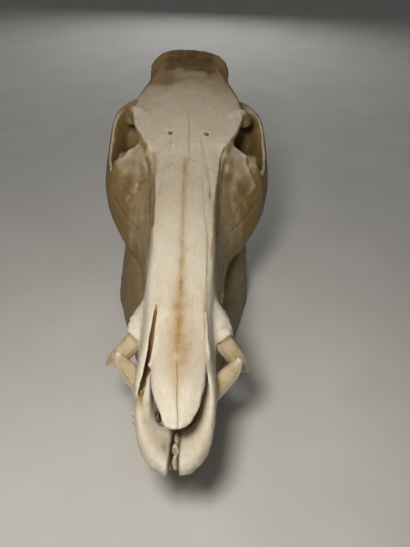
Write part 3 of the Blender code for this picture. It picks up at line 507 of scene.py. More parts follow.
def enamel_material():
    """Enamel worn through on the cusps: glossy cream with brown dentine in the worn places."""
    made, tree, shader, where = blank_material("tooth_enamel_worn")
    patch = noise(tree, where, 4, 4)
    worn = math(tree, "MULTIPLY", attribute(tree, "worn"), ramp(tree, patch, 0.35, 0.6, 0.5, 1.0))
    colour = mix(tree, ramp(tree, patch, 0.35, 0.65), "#cbbb98", "#ab9468")
    tree.links.new(mix(tree, worn, colour, "#6e4f2c"), shader.inputs["Base Color"])
    shader.inputs["Roughness"].default_value = 0.3
    bump = add(tree, "Bump", {"Height": noise(tree, where, 0.9, 3), "Strength": 0.25, "Distance": 0.2 * MM})
    tree.links.new(bump.outputs[0], shader.inputs["Normal"])
    shader.inputs["IOR"].default_value = 1.62
    return made


def gristle_material(name, plain, dips, dry):
    """Gristle or skin, dried hard in the cleaning: rough and matt, darker in its dips."""
    made, tree, shader, where = blank_material(name)
    patch = noise(tree, where, 2.5, 4)
    fine = noise(tree, where, 0.7, 3)
    colour = mix(tree, ramp(tree, patch, 0.4, 0.62), plain, dips)
    colour = mix(tree, ramp(tree, fine, 0.4, 0.7, 0.0, 0.5), colour, dry)
    tree.links.new(colour, shader.inputs["Base Color"])
    shader.inputs["Roughness"].default_value = 0.75
    bump = add(tree, "Bump", {"Height": fine, "Strength": 0.6, "Distance": 0.3 * MM})
    tree.links.new(bump.outputs[0], shader.inputs["Normal"])
    return made


def floor_material():
    """Matt painted board: plain pale grey, with the faint tooth of a roller."""
    made, tree, shader, where = blank_material("painted_board_rolled")
    tone = noise(tree, where, 90, 2)
    tree.links.new(mix(tree, ramp(tree, tone, 0.3, 0.7), "#dfddd8", "#e5e3de"), shader.inputs["Base Color"])
    shader.inputs["Roughness"].default_value = 0.85
    return made


# The bones' relief

# Sutures and cracks: the view they are drawn in, whether both sides carry them, how dark they are,
# and their path as that view shows it.
SEAMS = (
    ("top", False, 0.6, ((0.2, 262), (0.9, 257), (1.9, 243), (1.7, 232), (2.4, 222), (2.5, 213))),
    ("top", False, 0.3, ((26, 203), (19.6, 205.7), (15.5, 206.2), (13.4, 208.6), (10.6, 209.2),
                         (8.7, 212.2), (5, 212.4), (2.5, 214.4), (-1.5, 214.4), (-5.5, 213),
                         (-7.2, 211), (-10.6, 210.4), (-12, 207.2), (-14.3, 206.6), (-19.4, 203.2),
                         (-26, 201))),
    ("top", False, 0.6, ((2.0, 6), (1.6, 10), (1.1, 18), (0.7, 25), (0.3, 36), (-0.5, 46))),
    ("top", False, 0.1, ((-0.5, 46), (0.1, 80), (-0.4, 110), (-0.3, 150), (-1.2, 200), (0.5, 213))),
    ("top", False, 0.35, ((15.5, 62), (15.2, 92), (16.6, 112), (17.4, 134), (15.6, 150), (14.5, 160),
                          (13.2, 190), (12, 200))),
    ("front", True, 0.8, ((62, 126), (57, 123), (54.6, 120), (51, 117), (47.5, 115.6), (43, 115.4),
                          (37, 115.2))),
    ("side", True, 0.5, ((60, 74), (63, 86), (70, 96), (84, 103), (96, 108), (103, 119), (112, 126),
                         (118, 125), (126, 131), (134, 134))),
)


def seam_distance(points, normals, seams):
    """Signed distance in mm to the nearest suture, 9 where none faces the point, and its darkness."""
    nearest = np.full(len(points), 9.0)
    strength = np.zeros(len(points))
    for view, both, dark, path in seams:
        flat, facing, p = seen_in(points, normals, view, both)
        signed, _ = line_distance(flat + 0.35 * np.stack([lumps(p, 3.0, 11), lumps(p, 3.0, 12)], 1), path)
        signed = np.where(facing > 0.3, signed, 9.0)
        closer = np.abs(signed) < np.abs(nearest)
        nearest = np.where(closer, signed, nearest)
        strength = np.where(closer, dark, strength)
    return nearest, strength


# The two nasal bones together: half-width along s, how far they lean to the animal's left, and the
# height of their upper face.
NASAL_S = (9, 10.5, 13, 18, 26, 36, 46, 62, 82, 100, 115, 140, 170, 195, 206, 213)
NASAL_HALF = (1.2, 4.2, 7.0, 9.4, 12.2, 14.2, 15.0, 15.4, 15.8, 17.2, 17.4, 14.0, 13.5, 12.6, 8.6, 1.5)
SHIFT_S = (9.0, 20.0, 50.0, 80.0, 110.0, 213.0)
SHIFT_X = (0.4, 1.3, 1.8, 1.0, 0.0, 0.0)
ROOF_S = (9.0, 82.0, 100.0, 145.0, 213.0)
ROOF_Z = (103.6, 124.7, 130.0, 143.3, 161.5)


def roof_height(p):
    """How far a point lies above the nasal bones' upper face."""
    x = p[:, 0] - np.interp(p[:, 1], SHIFT_S, SHIFT_X)
    return p[:, 2] - np.interp(p[:, 1], ROOF_S, ROOF_Z) + 0.024 * x ** 2


def nasal_share(p):
    """1 on the nasal bones, 0 off them."""
    s = p[:, 1]
    x = np.abs(p[:, 0] - np.interp(s, SHIFT_S, SHIFT_X))
    inside = smooth_step(np.interp(s, NASAL_S, NASAL_HALF) + 1.2 - x, 0.0, 1.6)
    return inside * smooth_step(roof_height(p), -6.5, -4.5) * (s < 216)


def snout_share(p):
    """1 on the premaxillae, 0 behind the slanting suture that parts them from the maxillae."""
    edge = np.interp(p[:, 2], (40, 67, 118, 160), (34, 60, 109, 125))
    return (1 - smooth_step(p[:, 1] - edge, -2.0, 2.0)) * (1 - nasal_share(p)) * (p[:, 1] < 126)


def s_between(p, start, full, still, end):
    """1 from full to still along s, fading to 0 at start and end."""
    return smooth_step(p[:, 1], start, full) * fade_out(p[:, 1], still, end)


def bowl_calm(p, n):
    """Where the open nose's floor and walls are drawn into one gentle bowl."""
    ax = np.abs(p[:, 0])
    across = smooth_step(ax, 3.0, 5.0) * fade_out(ax, 17.5, 20.5)
    depth = smooth_step(s_between(p, 3, 8, 60, 70), 0.0, 1.0)
    clear = 1 - np.minimum(1, 1.6 * trace(p, SLIT, 5.0, taper=False))
    return clear * across * depth * fade_out(p[:, 2], 94, 98) * smooth_step(n[:, 2], -0.1, 0.15)


# The slit beside the nose on the animal's right: x, s, z, half-width and half-height.
SLIT_TUBE = ((-14.4, 86, 122.5, 0.5, 5), (-14.8, 78, 118.5, 1.2, 9), (-15.5, 70, 114, 1.5, 11),
             (-16.2, 62.5, 109, 1.75, 13), (-16.9, 56, 104, 1.85, 14), (-17.9, 51, 100, 1.75, 12),
             (-19.3, 47, 96.5, 1.5, 9), (-20.9, 43, 94.5, 1.1, 6), (-22.0, 38.5, 94.2, 0.6, 3))
SLIT = tuple(place[:3] for place in SLIT_TUBE)

BROW_HOLES = ((-13.5, 242.5, 170), (16.0, 242.6, 170))

# Marks that only one side carries, in (x, s, z): the foot of the slit, grooves and ridges.
SLIT_FOOT = ((-19.3, 46, 98), (-20.4, 41.8, 96.5), (-21.4, 38.8, 95.6), (-22.2, 36.4, 94.7))
# the groove beside the left sheath, and mirrored beside the right one, where painted shade is laid
SHEATH_GROOVE = ((24.6, 71, 94), (24.8, 82, 102), (24.5, 98, 107), (24.2, 113, 111), (24, 124, 114))
RIDGE_BESIDE_NASAL = ((16.0, 82, 121.6), (17.1, 58.3, 112), (18.4, 48, 104.5), (19.2, 41.5, 98.8))
LEFT_EDGE = ((31, 231, 166), (30, 227.3, 164.5), (27.6, 219, 159.7), (26.7, 204.6, 153.8),
             (25.9, 191.4, 147.7), (25.2, 173, 136.6), (24.3, 159.3, 132.1), (23.4, 139.6, 127.9),
             (23, 128, 124))
RIGHT_VALLEY = ((-25.7, 225.5, 163.7), (-24.1, 195.8, 152.5), (-22.4, 165.7, 143.8), (-21.3, 145.8, 139.3))
NASAL_SIDE_LINE = ((15.6, 156, 144.6), (16.4, 135, 138.8), (16.7, 118.9, 134), (16.6, 89.9, 124),
                   (15.8, 69.5, 117.6))
CHEEK_RIDGES = (
    ((-27.4, 203.4, 151.9), (-32.8, 208.4, 145.8), (-37.9, 210.7, 141.9)),
    ((-37.9, 210.7, 141.9), (-41.2, 208.4, 136.8), (-46.3, 207.9, 130.6), (-50.8, 209.8, 126.7)),
    ((45, 232.5, 158.5), (47.6, 231, 156.5), (48.5, 226.9, 152.3), (52, 222.8, 146.4),
     (55.6, 220.7, 140.4), (57.5, 219, 134)),
    ((38, 212, 141), (42, 208.5, 134), (46.5, 208, 128), (51.2, 209.1, 123.5)),
)
RIGHT_ORBIT_RIM = ((-68.4, 260, 132.5), (-63, 240, 143), (-57.4, 229.6, 149.8), (-52.2, 229.1, 152.8),
                   (-47.4, 231.4, 157.1), (-44.4, 235.1, 159.8))
# the shadow the left nasal casts into the left bowl, painted in ochre
BOWL_SHADOW = ((15.5, 48, 92), (13.4, 37.2, 85), (10.3, 30.9, 81), (4.6, 25.1, 80.3))

# Lines that a view shows: the valley beside each cheek, a fold in each bowl of the nose, a flute along
# each nasal bone.
CHEEK_VALLEY = ((33, 160), (29.5, 152), (27, 142), (25.5, 131))
BOWL_FOLD = ((18.4, 66), (18.0, 54), (17.2, 44), (16.2, 34), (15.4, 26))
NASAL_FLUTE = ((14, 175), (15, 150), (14.8, 120), (14.6, 96), (14.2, 80))

# Lines raised or cut on the cranium: height in mm, view, width, whether both sides carry it, and path.
CRANIUM_STROKES = (
    # in front of each hole over the eyes a furrow with a low swelling beside it, behind it a hood
    (-0.75, "top", 1.8, True, ((13.4, 243), (12.6, 234), (14.5, 222), (17.5, 208), (19.5, 190), (20.5, 170))),
    (0.3, "top", 1.6, True, ((10.2, 246), (9.8, 236), (12, 222))),
    (0.45, "top", 1.2, True, ((11.8, 245.0), (14.6, 246.6), (17.6, 245.0))),
    # the edge of the flat top: a sharp line over a narrow valley, from the brow to the cheek
    (0.5, "top", 1.7, True, ((31, 236), (29.5, 230), (26.5, 215), (23, 195), (21, 165), (20.8, 130))),
    (-1.5, "top", 3.0, True, ((44.5, 266), (40, 254), (34.5, 242), (30, 232))),
    (-1.3, "front", 2.3, True, CHEEK_VALLEY),
    (0.7, "top", 2.0, True, ((44.5, 279), (39, 295), (32, 310), (27, 322), (24, 332))),
    # the cheek bone's lower suture, the ridge down the back of the head, the seam of the nose's tip
    (-0.5, "front", 1.0, True, ((62, 126), (57, 123), (54.6, 120), (47.5, 115.6), (37, 115.2))),
    (0.9, "back", 2.0, False, ((0, 196), (0.6, 170), (0, 140), (0, 126))),
    (-0.2, "top", 0.8, False, ((2.0, 8), (1.1, 18), (0.7, 25), (0.3, 36), (-0.5, 46))),
)
CRANIUM_TRACES = ((-0.9, 1.1, LEFT_EDGE), (-0.7, 2.0, RIGHT_VALLEY), (0.7, 1.0, RIDGE_BESIDE_NASAL),
                  (-1.6, 0.9, SLIT_FOOT), (1.0, 1.8, RIGHT_ORBIT_RIM))

# Hollows and swellings of the cranium: height in mm, centre and radii. The first are on both sides: the
# two hollows of each cheek plate and the two tear holes on the orbit's front rim.
PAIRED_DENTS = ((-2.4, (48.5, 219, 136.5), (6.5, 12, 8.5)), (-1.5, (34.5, 224, 146.5), (5.0, 14, 7.5)),
                (-3.0, (38.5, 234, 156), (1.3, 4, 1.5)), (-3.0, (40.5, 233, 150), (1.2, 4, 1.3)))
SINGLE_DENTS = ((0.9, (51.2, 209.1, 123.5), (3, 3, 3)), (-0.8, (-2.2, 178, 152), (1.0, 1.4, 4)),
                (-3.5, (-10.0, 34.2, 80.2), (1.7, 3.6, 4)))
BOWL_HOLES = ((18.9, 38, 89), (17.6, 41, 88), (8.5, 7.5, 82), (6.4, 8.6, 82), (-9.3, 12, 82), (21, 24, 84))
UPPER_ROOTS_S = (96, 105, 111, 118, 125, 132, 138, 146, 152, 160, 168, 174, 182, 190, 198)
LOWER_ROOTS_S = (100, 106, 112, 119, 126, 134, 141, 149, 157, 165, 173, 183, 192, 202)
CHIN_HOLES = ((16, 36, 33), (18, 44, 30), (19.5, 62, 28), (20.5, 72, 27), (22, 86, 26), (24, 104, 28),
              (9, 24, 40), (4, 24, 36))


def cranium_relief(p, n):
    """Height in mm to raise the cranium's skin by, from ridges, grooves, pits and roughness."""
    s, z = p[:, 1], p[:, 2]
    snout, nasal = snout_share(p), nasal_share(p)
    smooth_bone = np.clip(snout + nasal, 0, 1)
    rise = (0.17 - 0.08 * smooth_bone) * rough(p, 9, 1)
    rise += (0.08 - 0.035 * smooth_bone) * rough(p, 3.5, 2, (1, 1.8, 1))
    rise += strokes(p, n, CRANIUM_STROKES) + traces(p, CRANIUM_TRACES)
    rise += traces(p, [(1.0, 1.8, ridge) for ridge in CHEEK_RIDGES])
    rise += dents(p, PAIRED_DENTS, both=True) + dents(p, SINGLE_DENTS)
    rise += dents(p, [(-5.5, hole, (1.15, 1.3, 5)) for hole in BROW_HOLES])
    # roots of the cheek teeth swell the jaw's edge
    for root_s in UPPER_ROOTS_S:
        rise += 0.55 * dent(p, (24 + 0.07 * max(0, root_s - 100), root_s, 78), (5, 2.6, 7))
    # the sheath of the upper tusk is fluted along its growth
    flute = dent(p, (29, 88, 101), (9, 15, 11))
    rise += 0.45 * flute * np.cos((s - 0.5 * np.abs(p[:, 0])) * 1.25 + 2 * lumps(p, 9, 5))
    # crest and the back of the head, where the neck's muscles were held, are rough
    crest = smooth_step(s, 322, 344) * smooth_step(z, 150, 185)
    rise += crest * (0.5 * rough(p, 5.5, 21) + 0.25 * rough(p, 2.4, 22))
    nape = smooth_step(s, 300, 318) * smooth_step(n[:, 1], 0.2, 0.7)
    rise += nape * 0.35 * rough(p, 5, 23, (1, 1, 1.6))
    flank = smooth_step(np.abs(n[:, 0]), 0.4, 0.8) * smooth_step(s, 262, 285)
    rise += flank * 0.22 * rough(p, 6, 24, (1, 1, 2.4))
    # the open bowls of the nose have a long fold and small holes
    rise += 0.5 * snout * stroke(p, n, "top", BOWL_FOLD, 1.2)
    rise += dents(p, [(-0.8, hole, (0.9, 1.0, 4)) for hole in BOWL_HOLES])
    return rise - 0.3 * nasal * stroke(p, n, "top", NASAL_FLUTE, 1.4)


def jaw_relief(p, n):
    """The mandible: roots of the teeth, rough muscle marks at its angle, small nerve holes in the chin."""
    rise = 0.14 * rough(p, 8, 61) + 0.07 * rough(p, 3, 62)
    for root_s in LOWER_ROOTS_S:
        rise += 0.45 * dent(p, (24 + 0.1 * max(0, root_s - 120), root_s, 40), (7, 2.4, 7))
    rise += dents(p, [(-2.0, hole, (2.2, 1.3, 1.3)) for hole in CHIN_HOLES], both=True)
    angle = smooth_step(p[:, 1], 228, 262) * fade_out(p[:, 2], 20, 60)
    rise += angle * 0.5 * rough(p, 5.5, 63, (1, 1, 1.7))
    rise += 0.8 * stroke(p, n, "side", ((226, 92), (231, 72), (226, 48), (236, 26), (252, 14)), 3.0)
    return rise - 0.8 * dent(p, (60, 246, 60), (5, 16, 24))


# The bones' tints

# What the material reads: brown fat stain with painted shade, yellow-green soil with painted shade, bleached
# bone with painted highlight, painted shade with dark dirt, ochre earth with painted shadow.
TINTS = ("stain_and_shade", "olive", "pale", "shade_and_grime", "ochre")

# The ochre streak down the nasal bones: its middle, half-width and strength along s.
STREAK_S = (0, 20, 28, 36, 44, 54, 66, 78, 95, 120, 160, 215)
STREAK_X = (1.2, 0.9, 0.5, 0.6, 0.5, 0.4, 0.0, -0.1, 0.2, 0.5, -0.4, -0.6)
STREAK_HALF = (1.0, 1.2, 2.6, 5.6, 7.6, 8.4, 8.0, 5.8, 3.6, 2.4, 2.2, 2.0)
STREAK_STRENGTH = (0.2, 0.3, 0.5, 0.8, 1.0, 1.05, 1.0, 0.95, 0.85, 0.75, 0.7, 0.7)

# Spots that one side carries: strength, centre and radii.
STAIN_SPOTS = ((0.6, (59.3, 221, 134), (3.5, 9, 9)), (0.7, (-19.5, 305, 193), (7, 5, 8)),
               (0.6, (-40, 299, 186), (5, 7, 8)))
PALE_SPOTS = ((1.0, (-22, 324, 199), (5, 3, 5)), (0.9, (15, 328, 201), (6.5, 3.5, 5)),
              (0.8, (51.2, 209.1, 123.5), (3.4, 3.4, 3.4)))
# painted highlight along the right orbit's rim and the ridge beside the nose
PALE_TRACES = ((0.8, 3.0, RIGHT_ORBIT_RIM), (0.8, 0.9, RIDGE_BESIDE_NASAL))
# painted shade along the valley under the left edge, the right valley and the slit's foot
SHADE_TRACES = ((0.8, 1.1, LEFT_EDGE), (0.2, 1.8, RIGHT_VALLEY), (0.8, 0.9, SLIT_FOOT))


def arch_side(p, n):
    """1 on the outer side of the arches and the flanks of the head."""
    return smooth_step(np.abs(p[:, 0]), 44, 54) * smooth_step(np.abs(n[:, 0]), 0.25, 0.7)


def streak_share(p):
    """How strong the ochre streak is: mottled, widest over the nose's front third, with a fine core."""
    x, s = p[:, 0] - np.interp(p[:, 1], STREAK_S, STREAK_X), p[:, 1]
    blotch = 0.88 + 0.36 * rough(p, 5, 53, (1, 2.0, 1))
    wander = np.abs(x + 0.9 * lumps(p, 7, 54) + 0.4 * lumps(p, 2.5, 55))
    broad = np.exp(-(wander / np.interp(s, STREAK_S, STREAK_HALF)) ** 1.7)
    core = 0.25 * np.exp(-(x / 0.9) ** 2) * s_between(p, 70, 100, 200, 214)
    return np.interp(s, STREAK_S, STREAK_STRENGTH) * broad * blotch + core


def passage_share(p):
    """1 in the passage under the nasal bones."""
    inside = fade_out(np.abs(p[:, 0]), 17.5, 19.5) * smooth_step(p[:, 2], 78, 82)
    return s_between(p, 46, 64, 112, 126) * inside * smooth_step(-roof_height(p), 2.0, 4.0)


def slit_share(p):
    """1 on the walls inside the slit."""
    middle = np.interp(p[:, 1], [place[1] for place in SLIT[::-1]], [place[0] for place in SLIT[::-1]])
    inside = smooth_step(2.6 - np.abs(p[:, 0] - middle), 0.0, 0.6) * smooth_step(-roof_height(p), 1.6, 3.6)
    return trace(p, SLIT, 6.0, taper=False) * inside


def nose_ochre(p, n, snout, nasal):
    """Ochre-brown painted shade and shadow: on the nasal bones' steep left side faces, as the left nasal's
    cast shadow in the left bowl and in the hollow behind it; and ochre earth in small flecks.
    """
    x, below = p[:, 0], -roof_height(p)
    shadow = 0.9 * trace(p, BOWL_SHADOW, 2.6, taper=False)
    behind = 0.7 * smooth_step(below, 5, 8) * smooth_step(15.5 - x, 0, 3) * smooth_step(x, -2, 3)
    flecks = 0.3 * smooth_step(lumps(p, 3.5, 47), 0.45, 0.8)
    edge = 0.8 * nasal * smooth_step(np.abs(n[:, 0]), 0.72, 0.92) * smooth_step(x, 0, 5)
    return snout * (shadow + behind * s_between(p, 24, 34, 70, 90) + flecks) + edge


def cranium_tints(p, n, deep, wide):
    """The cranium's five tints, in the order of TINTS."""
    s, z, ax = p[:, 1], p[:, 2], np.abs(p[:, 0])
    snout, nasal = snout_share(p), nasal_share(p)
    cave, slit = passage_share(p), slit_share(p)
    groove = trace(p, SHEATH_GROOVE, 1.7)
    other_groove = trace(p, [(-gx, gs, gz) for gx, gs, gz in SHEATH_GROOVE], 1.6)
    up = smooth_step(n[:, 2], 0.2, 0.6)
    back = smooth_step(s, 296, 320)
    mottled = 0.5 + 0.5 * lumps(p, 7, 31)
    # the crest is soaked brown in the middle and yellow on its two lobes; the stain has spilled forward
    crest = smooth_step(s + 5 * rough(p, 9, 32), 318, 325) * smooth_step(z, 150, 190)
    middle = fade_out(ax + 2 * lumps(p, 6, 36), 19, 26)
    stain_and_shade = crest * (0.15 + 1.75 * middle)
    stain_and_shade += 0.3 * smooth_step(s, 292, 306) * (1 - crest) * smooth_step(ax, 10, 20) * mottled
    stain_and_shade += 0.35 * smooth_step(s, 296, 304) * smooth_step(ax, 26, 34) * mottled
    spilled = s_between(p, 288, 312, 330, 336) * (1 - crest) * smooth_step(z, 150, 180)
    stain_and_shade += spilled * (0.55 + 0.6 * lumps(p, 9, 40))
    stain_and_shade += 0.35 * smooth_step(n[:, 1], 0.1, 0.5) * smooth_step(s, 290, 310) * mottled
    stain_and_shade += 0.8 * crest * dent(p, (-19.5, 305, 193), (8, 6, 8), both=False) + dents(p, STAIN_SPOTS)
    # olive soil towards the back and on the cheek plates, and olive as painted shade on side-facing and
    # downturned faces, low down and on the arches' outer sides
    olive = 0.8 * smooth_step(np.abs(n[:, 0]), 0.35, 0.75) + 0.6 * arch_side(p, n)
    olive += 0.4 * fade_out(z, 84, 118) + 0.3 * fade_out(n[:, 2], -0.6, 0.2)
    olive *= smooth_step(s, 96, 140) * (0.7 + 0.3 * mottled)
    olive += 0.42 * smooth_step(s, 225, 310) + 0.2 * s_between(p, 140, 190, 205, 230)
    olive += 0.9 * crest * (1 - middle) + 0.35 * back * (1 - crest)
    olive += 0.45 * smooth_step(s, 236, 262) * fade_out(n[:, 2], 0.3, 0.7)
    plate = smooth_step(-n[:, 1], 0.3, 0.7) * smooth_step(ax, 28, 34) * s_between(p, 196, 206, 236, 246)
    blotched = plate * (0.7 + 0.5 * rough(p, 7, 38))
    fossae = dent(p, (48.5, 218, 137), (7, 12, 8)) + 0.7 * dent(p, (34.5, 224, 146), (5, 14, 7))
    olive += 0.85 * plate * (0.75 + 0.4 * lumps(p, 8, 39)) + 0.8 * dent(p, (54, 209, 114), (6, 8, 5.5))
    # darker brown in the cheek plates' two hollows and along the line beside the left nasal; painted shade in
    # brown along the right valley
    stain_and_shade += 1.1 * blotched * fossae
    stain_and_shade += traces(p, ((0.5, 2.4, RIGHT_VALLEY), (0.75, 0.8, NASAL_SIDE_LINE)))
    # painted shade in brown on the nasal bones' undersides, in the passage under them and in a band beside the
    # nasal bones' edges; the bowls in front of it are cream with a brown patch
    stain_and_shade += 0.7 * nasal * smooth_step(-n[:, 2], 0.0, 0.5)
    shade = np.exp(-((ax - 12.5) / 3.0) ** 2) * smooth_step(-roof_height(p), 6, 9)
    stain_and_shade += 0.85 * cave + 0.45 * shade * s_between(p, 26, 36, 60, 70)
    patch = dent(p, (-6.6, 13, 82), (4.5, 5.5, 8), both=False)
    stain_and_shade += 0.9 * snout * patch * (0.6 + 0.4 * lumps(p, 3, 44))
    # painted shade in the slit and in the grooves beside both tusk sheaths
    stain_and_shade += 0.3 * slit + 0.7 * groove + 0.5 * other_groove
    # the ochre streak down the nose is earth; the rest is painted shadow and shade in ochre-brown, in the
    # slit, along the nasal's side and in the left bowl
    ochre = nasal * up * streak_share(p) + nose_ochre(p, n, snout, nasal) + 1.2 * slit
    # pale where bone is bleached or handled: the sheaths, the snout and flakes of crest; and painted highlight
    # on the upturned flat top, on the nose's top most of all near its tip, on convex ridges and rims, along
    # the cheek ridges and on the lobe behind each orbit
    top = smooth_step(n[:, 2], 0.5, 0.85) * smooth_step(z, 120, 140)
    pale = 0.55 * top * (1 - back) * (0.75 + 0.25 * lumps(p, 18, 35))
    pale += nasal * up * np.interp(s, (0, 60, 110, 215), (0.95, 0.6, 0.2, 0.0))
    pale += 0.8 * dent(p, (29, 88, 98), (12, 18, 13)) + 0.5 * snout * (1 - cave)
    pale += smooth_step(-deep, 0.10, 0.30) * 0.5 * (1 - 0.7 * back)
    pale += 0.6 * crest * smooth_step(lumps(p, 4, 37), 0.55, 0.8) * fade_out(s, 322, 327)
    pale += dents(p, PALE_SPOTS) + 0.6 * dent(p, (48.7, 268.5, 177), (6, 6, 5))
    pale += traces(p, PALE_TRACES) + traces(p, [(0.8, 1.7, ridge) for ridge in CHEEK_RIDGES])
    # mostly painted shade: darker in hollows, in the cheek plates and valleys, under and beside the arches,
    # along the snout's grooves and slit, in the gap between its lobes and in the small holes; with dirt soaked
    # into the crest's middle
    hidden = smooth_step(ax, 28, 34) * smooth_step(s, 240, 256) * fade_out(z, 118, 160)
    shade_and_grime = blotched * (0.2 + 0.4 * fossae)
    shade_and_grime += smooth_step(deep, 0.12, 0.5) * 0.5 + smooth_step(wide, 1.2, 4.0) * 0.45
    shade_and_grime += 0.25 * hidden + 0.22 * arch_side(p, n) * smooth_step(s, 225, 250)
    shade_and_grime += 0.35 * stroke(p, n, "front", CHEEK_VALLEY, 1.6) + 0.62 * crest * middle
    shade_and_grime *= 1 - 0.88 * np.clip(snout + nasal, 0, 1)
    # painted shade in the gap between the nose's two lobes
    shade_and_grime += 0.9 * snout * fade_out(ax, 1.5, 4.5) * fade_out(s, 24, 30) * fade_out(z, 79, 84)
    shade_and_grime += traces(p, SHADE_TRACES) + 0.7 * groove
    # painted shade in the hole beside the palate and in the holes over the eyes
    shade_and_grime += 0.9 * dent(p, (-9.3, 33.5, 78), (2.0, 3.8, 5), both=False)
    shade_and_grime += dents(p, [(1.3, hole, (1.5, 1.7, 9)) for hole in BROW_HOLES])
    pale *= (1 - 0.8 * cave) * (1 - np.clip(slit + groove + other_groove, 0, 1))
    return stain_and_shade, olive, pale, shade_and_grime, ochre


def jaw_tints(p, n, deep, wide):
    """The mandible's five tints, mostly painted light: darker and browner than the cranium as painted shade,
    most so low down, in hollows and towards its hinge end, and pale as painted highlight on ridges and
    upturned faces.
    """
    s, z = p[:, 1], p[:, 2]
    mottled = 0.5 + 0.5 * rough(p, 9, 64)
    olive = 0.55 + 0.35 * mottled
    stain_and_shade = 0.45 + 0.35 * fade_out(z, 2, 30) + 0.35 * mottled * smooth_step(s, 180, 250)
    pale = 0.35 * smooth_step(-deep, 0.08, 0.3) + 0.15 * smooth_step(n[:, 2], 0.4, 0.8)
    shade_and_grime = 0.3 + 0.5 * smooth_step(deep, 0.12, 0.5) + 0.4 * smooth_step(wide, 1.2, 4.0)
    return stain_and_shade, olive, pale * fade_out(s, 60, 90), shade_and_grime * smooth_step(s, 30, 80), np.zeros(len(s))


MOST_TRIANGLES = 190000


def sculpt(piece, relief, tints, material, seams=(), calm=None):
    """Raises the skin by its relief, then stores tints and suture distance for the material."""
    mesh = piece.data
    points, edges = read_points(mesh), edges_of(mesh)
    normals = normals_of(mesh)
    if calm is not None:
        points = settled(points, edges, calm(points, normals), 50)
        write_points(mesh, points)
        normals = normals_of(mesh)
    points = points + normals * relief(points, normals)[:, None]
    points[:, 2] = np.maximum(points[:, 2], FLOOR_GAP / MM)
    write_points(mesh, points)
    normals = normals_of(mesh)
    deep = hollowness(points, normals, edges, 5)
    wide = hollowness(points, normals, edges, 40)
    for name, values in zip(TINTS, tints(points, normals, deep, wide)):
        keep_value(mesh, name, np.clip(values, 0.0, 2.0))
    distance, strength = seam_distance(points, normals, seams)
    keep_value(mesh, "seam", distance)
    keep_value(mesh, "seam_strength", strength)
    fewer(piece, MOST_TRIANGLES)
    piece.data.materials.clear()
    piece.data.materials.append(material)
    piece.data.shade_smooth()


# Teeth

# The tusks' curves on the animal's left: x, s, z and the two half-widths.
TUSKS = {
    "upper_canine": (
        (22.6, 85.2, 102.6, 6.4, 6.5), (28.2, 80.8, 97.0, 6.4, 6.5), (34.6, 78.2, 90.6, 6.2, 6.3),
        (39.8, 77.5, 84.0, 5.9, 6.0), (43.2, 77.8, 77.8, 5.4, 5.6), (45.4, 78.6, 71.6, 5.0, 5.2)),
    "lower_canine": (
        (17.0, 55.0, 48.0, 5.6, 6.0), (17.9, 56.0, 60.0, 5.6, 6.0), (19.6, 58.0, 70.0, 5.8, 6.2),
        (24.2, 60.0, 78.4, 6.2, 6.2), (29.4, 61.4, 86.0, 5.8, 5.8), (33.6, 62.2, 93.4, 4.7, 4.8),
        (35.6, 62.4, 98.4, 3.4, 3.5), (36.6, 62.5, 102.4, 1.9, 2.1)),
}

# Where each tusk leaves its sheath, and which way it points there.
TUSK_START = {"upper_canine": (27.4, 81.3, 97.8), "lower_canine": (18.2, 55.8, 58.5)}
TUSK_WAY = {"upper_canine": (0.66, -0.42, -0.62), "lower_canine": (0.14, 0.08, 0.99)}

# The tusks are worn unevenly: how far each side's spreads or rises, next to the animal's right.
TUSK_SPREAD = {"upper_canine": {1: 0.84, -1: 1.0}, "lower_canine": {1: 1.04, -1: 1.0}}
TUSK_RISE = {"upper_canine": {1: 1.0, -1: 1.0}, "lower_canine": {1: 0.92, -1: 1.0}}

# The upper tusks are ground to a flat end, lower on the animal's left: its height 78 mm behind the tip.
FACET_NORMAL = (0.1, -0.66, -0.74)
FACET_Z = {1: 72.4, -1: 75.6}
FACET_POINT = (45.0, 78.0)

# The side of the lower tusk that still carries its band of enamel.
ENAMEL_SIDE = (0.85, -0.3, -0.45)


def curve(points, count):
    """Catmull-Rom curve through the points, count places evenly spaced along its length."""
    points = np.asarray(points, float)
    ends = np.vstack([2 * points[0] - points[1], points, 2 * points[-1] - points[-2]])
    t = np.linspace(0, len(points) - 1, 40 * len(points))
    i = np.minimum(t.astype(int), len(points) - 2)
    f = (t - i)[:, None]
    a, b, c, d = (ends[i + k] for k in range(4))
    bend = (2 * a - 5 * b + 4 * c - d) * f ** 2
    turn = (3 * b - a - 3 * c + d) * f ** 3
    fine = 0.5 * (2 * b + (c - a) * f + bend + turn)
    length = np.concatenate([[0], np.cumsum(np.linalg.norm(np.diff(fine[:, :3], axis=0), axis=1))])
    at = np.linspace(0, length[-1], count)
    return np.stack([np.interp(at, length, column) for column in fine.T], 1)


def carried_frame(centre):
    """Unit vectors along a path, across it and up from it, at each of its places."""
    along = np.gradient(centre, axis=0)
    along /= np.linalg.norm(along, axis=1)[:, None]
    across = np.cross(along, (0.0, 1.0, 0.0))
    across /= np.linalg.norm(across, axis=1)[:, None]
    return along, across, np.cross(across, along)


def ovals(centre, across, up, wide, high, theta):
    """Rings of points round a path: centre + wide * cos(theta) * across + high * sin(theta) * up."""
    return (centre[:, None, :] + (wide * np.cos(theta))[:, :, None] * across[:, None, :]
            + (high * np.sin(theta))[:, :, None] * up[:, None, :])


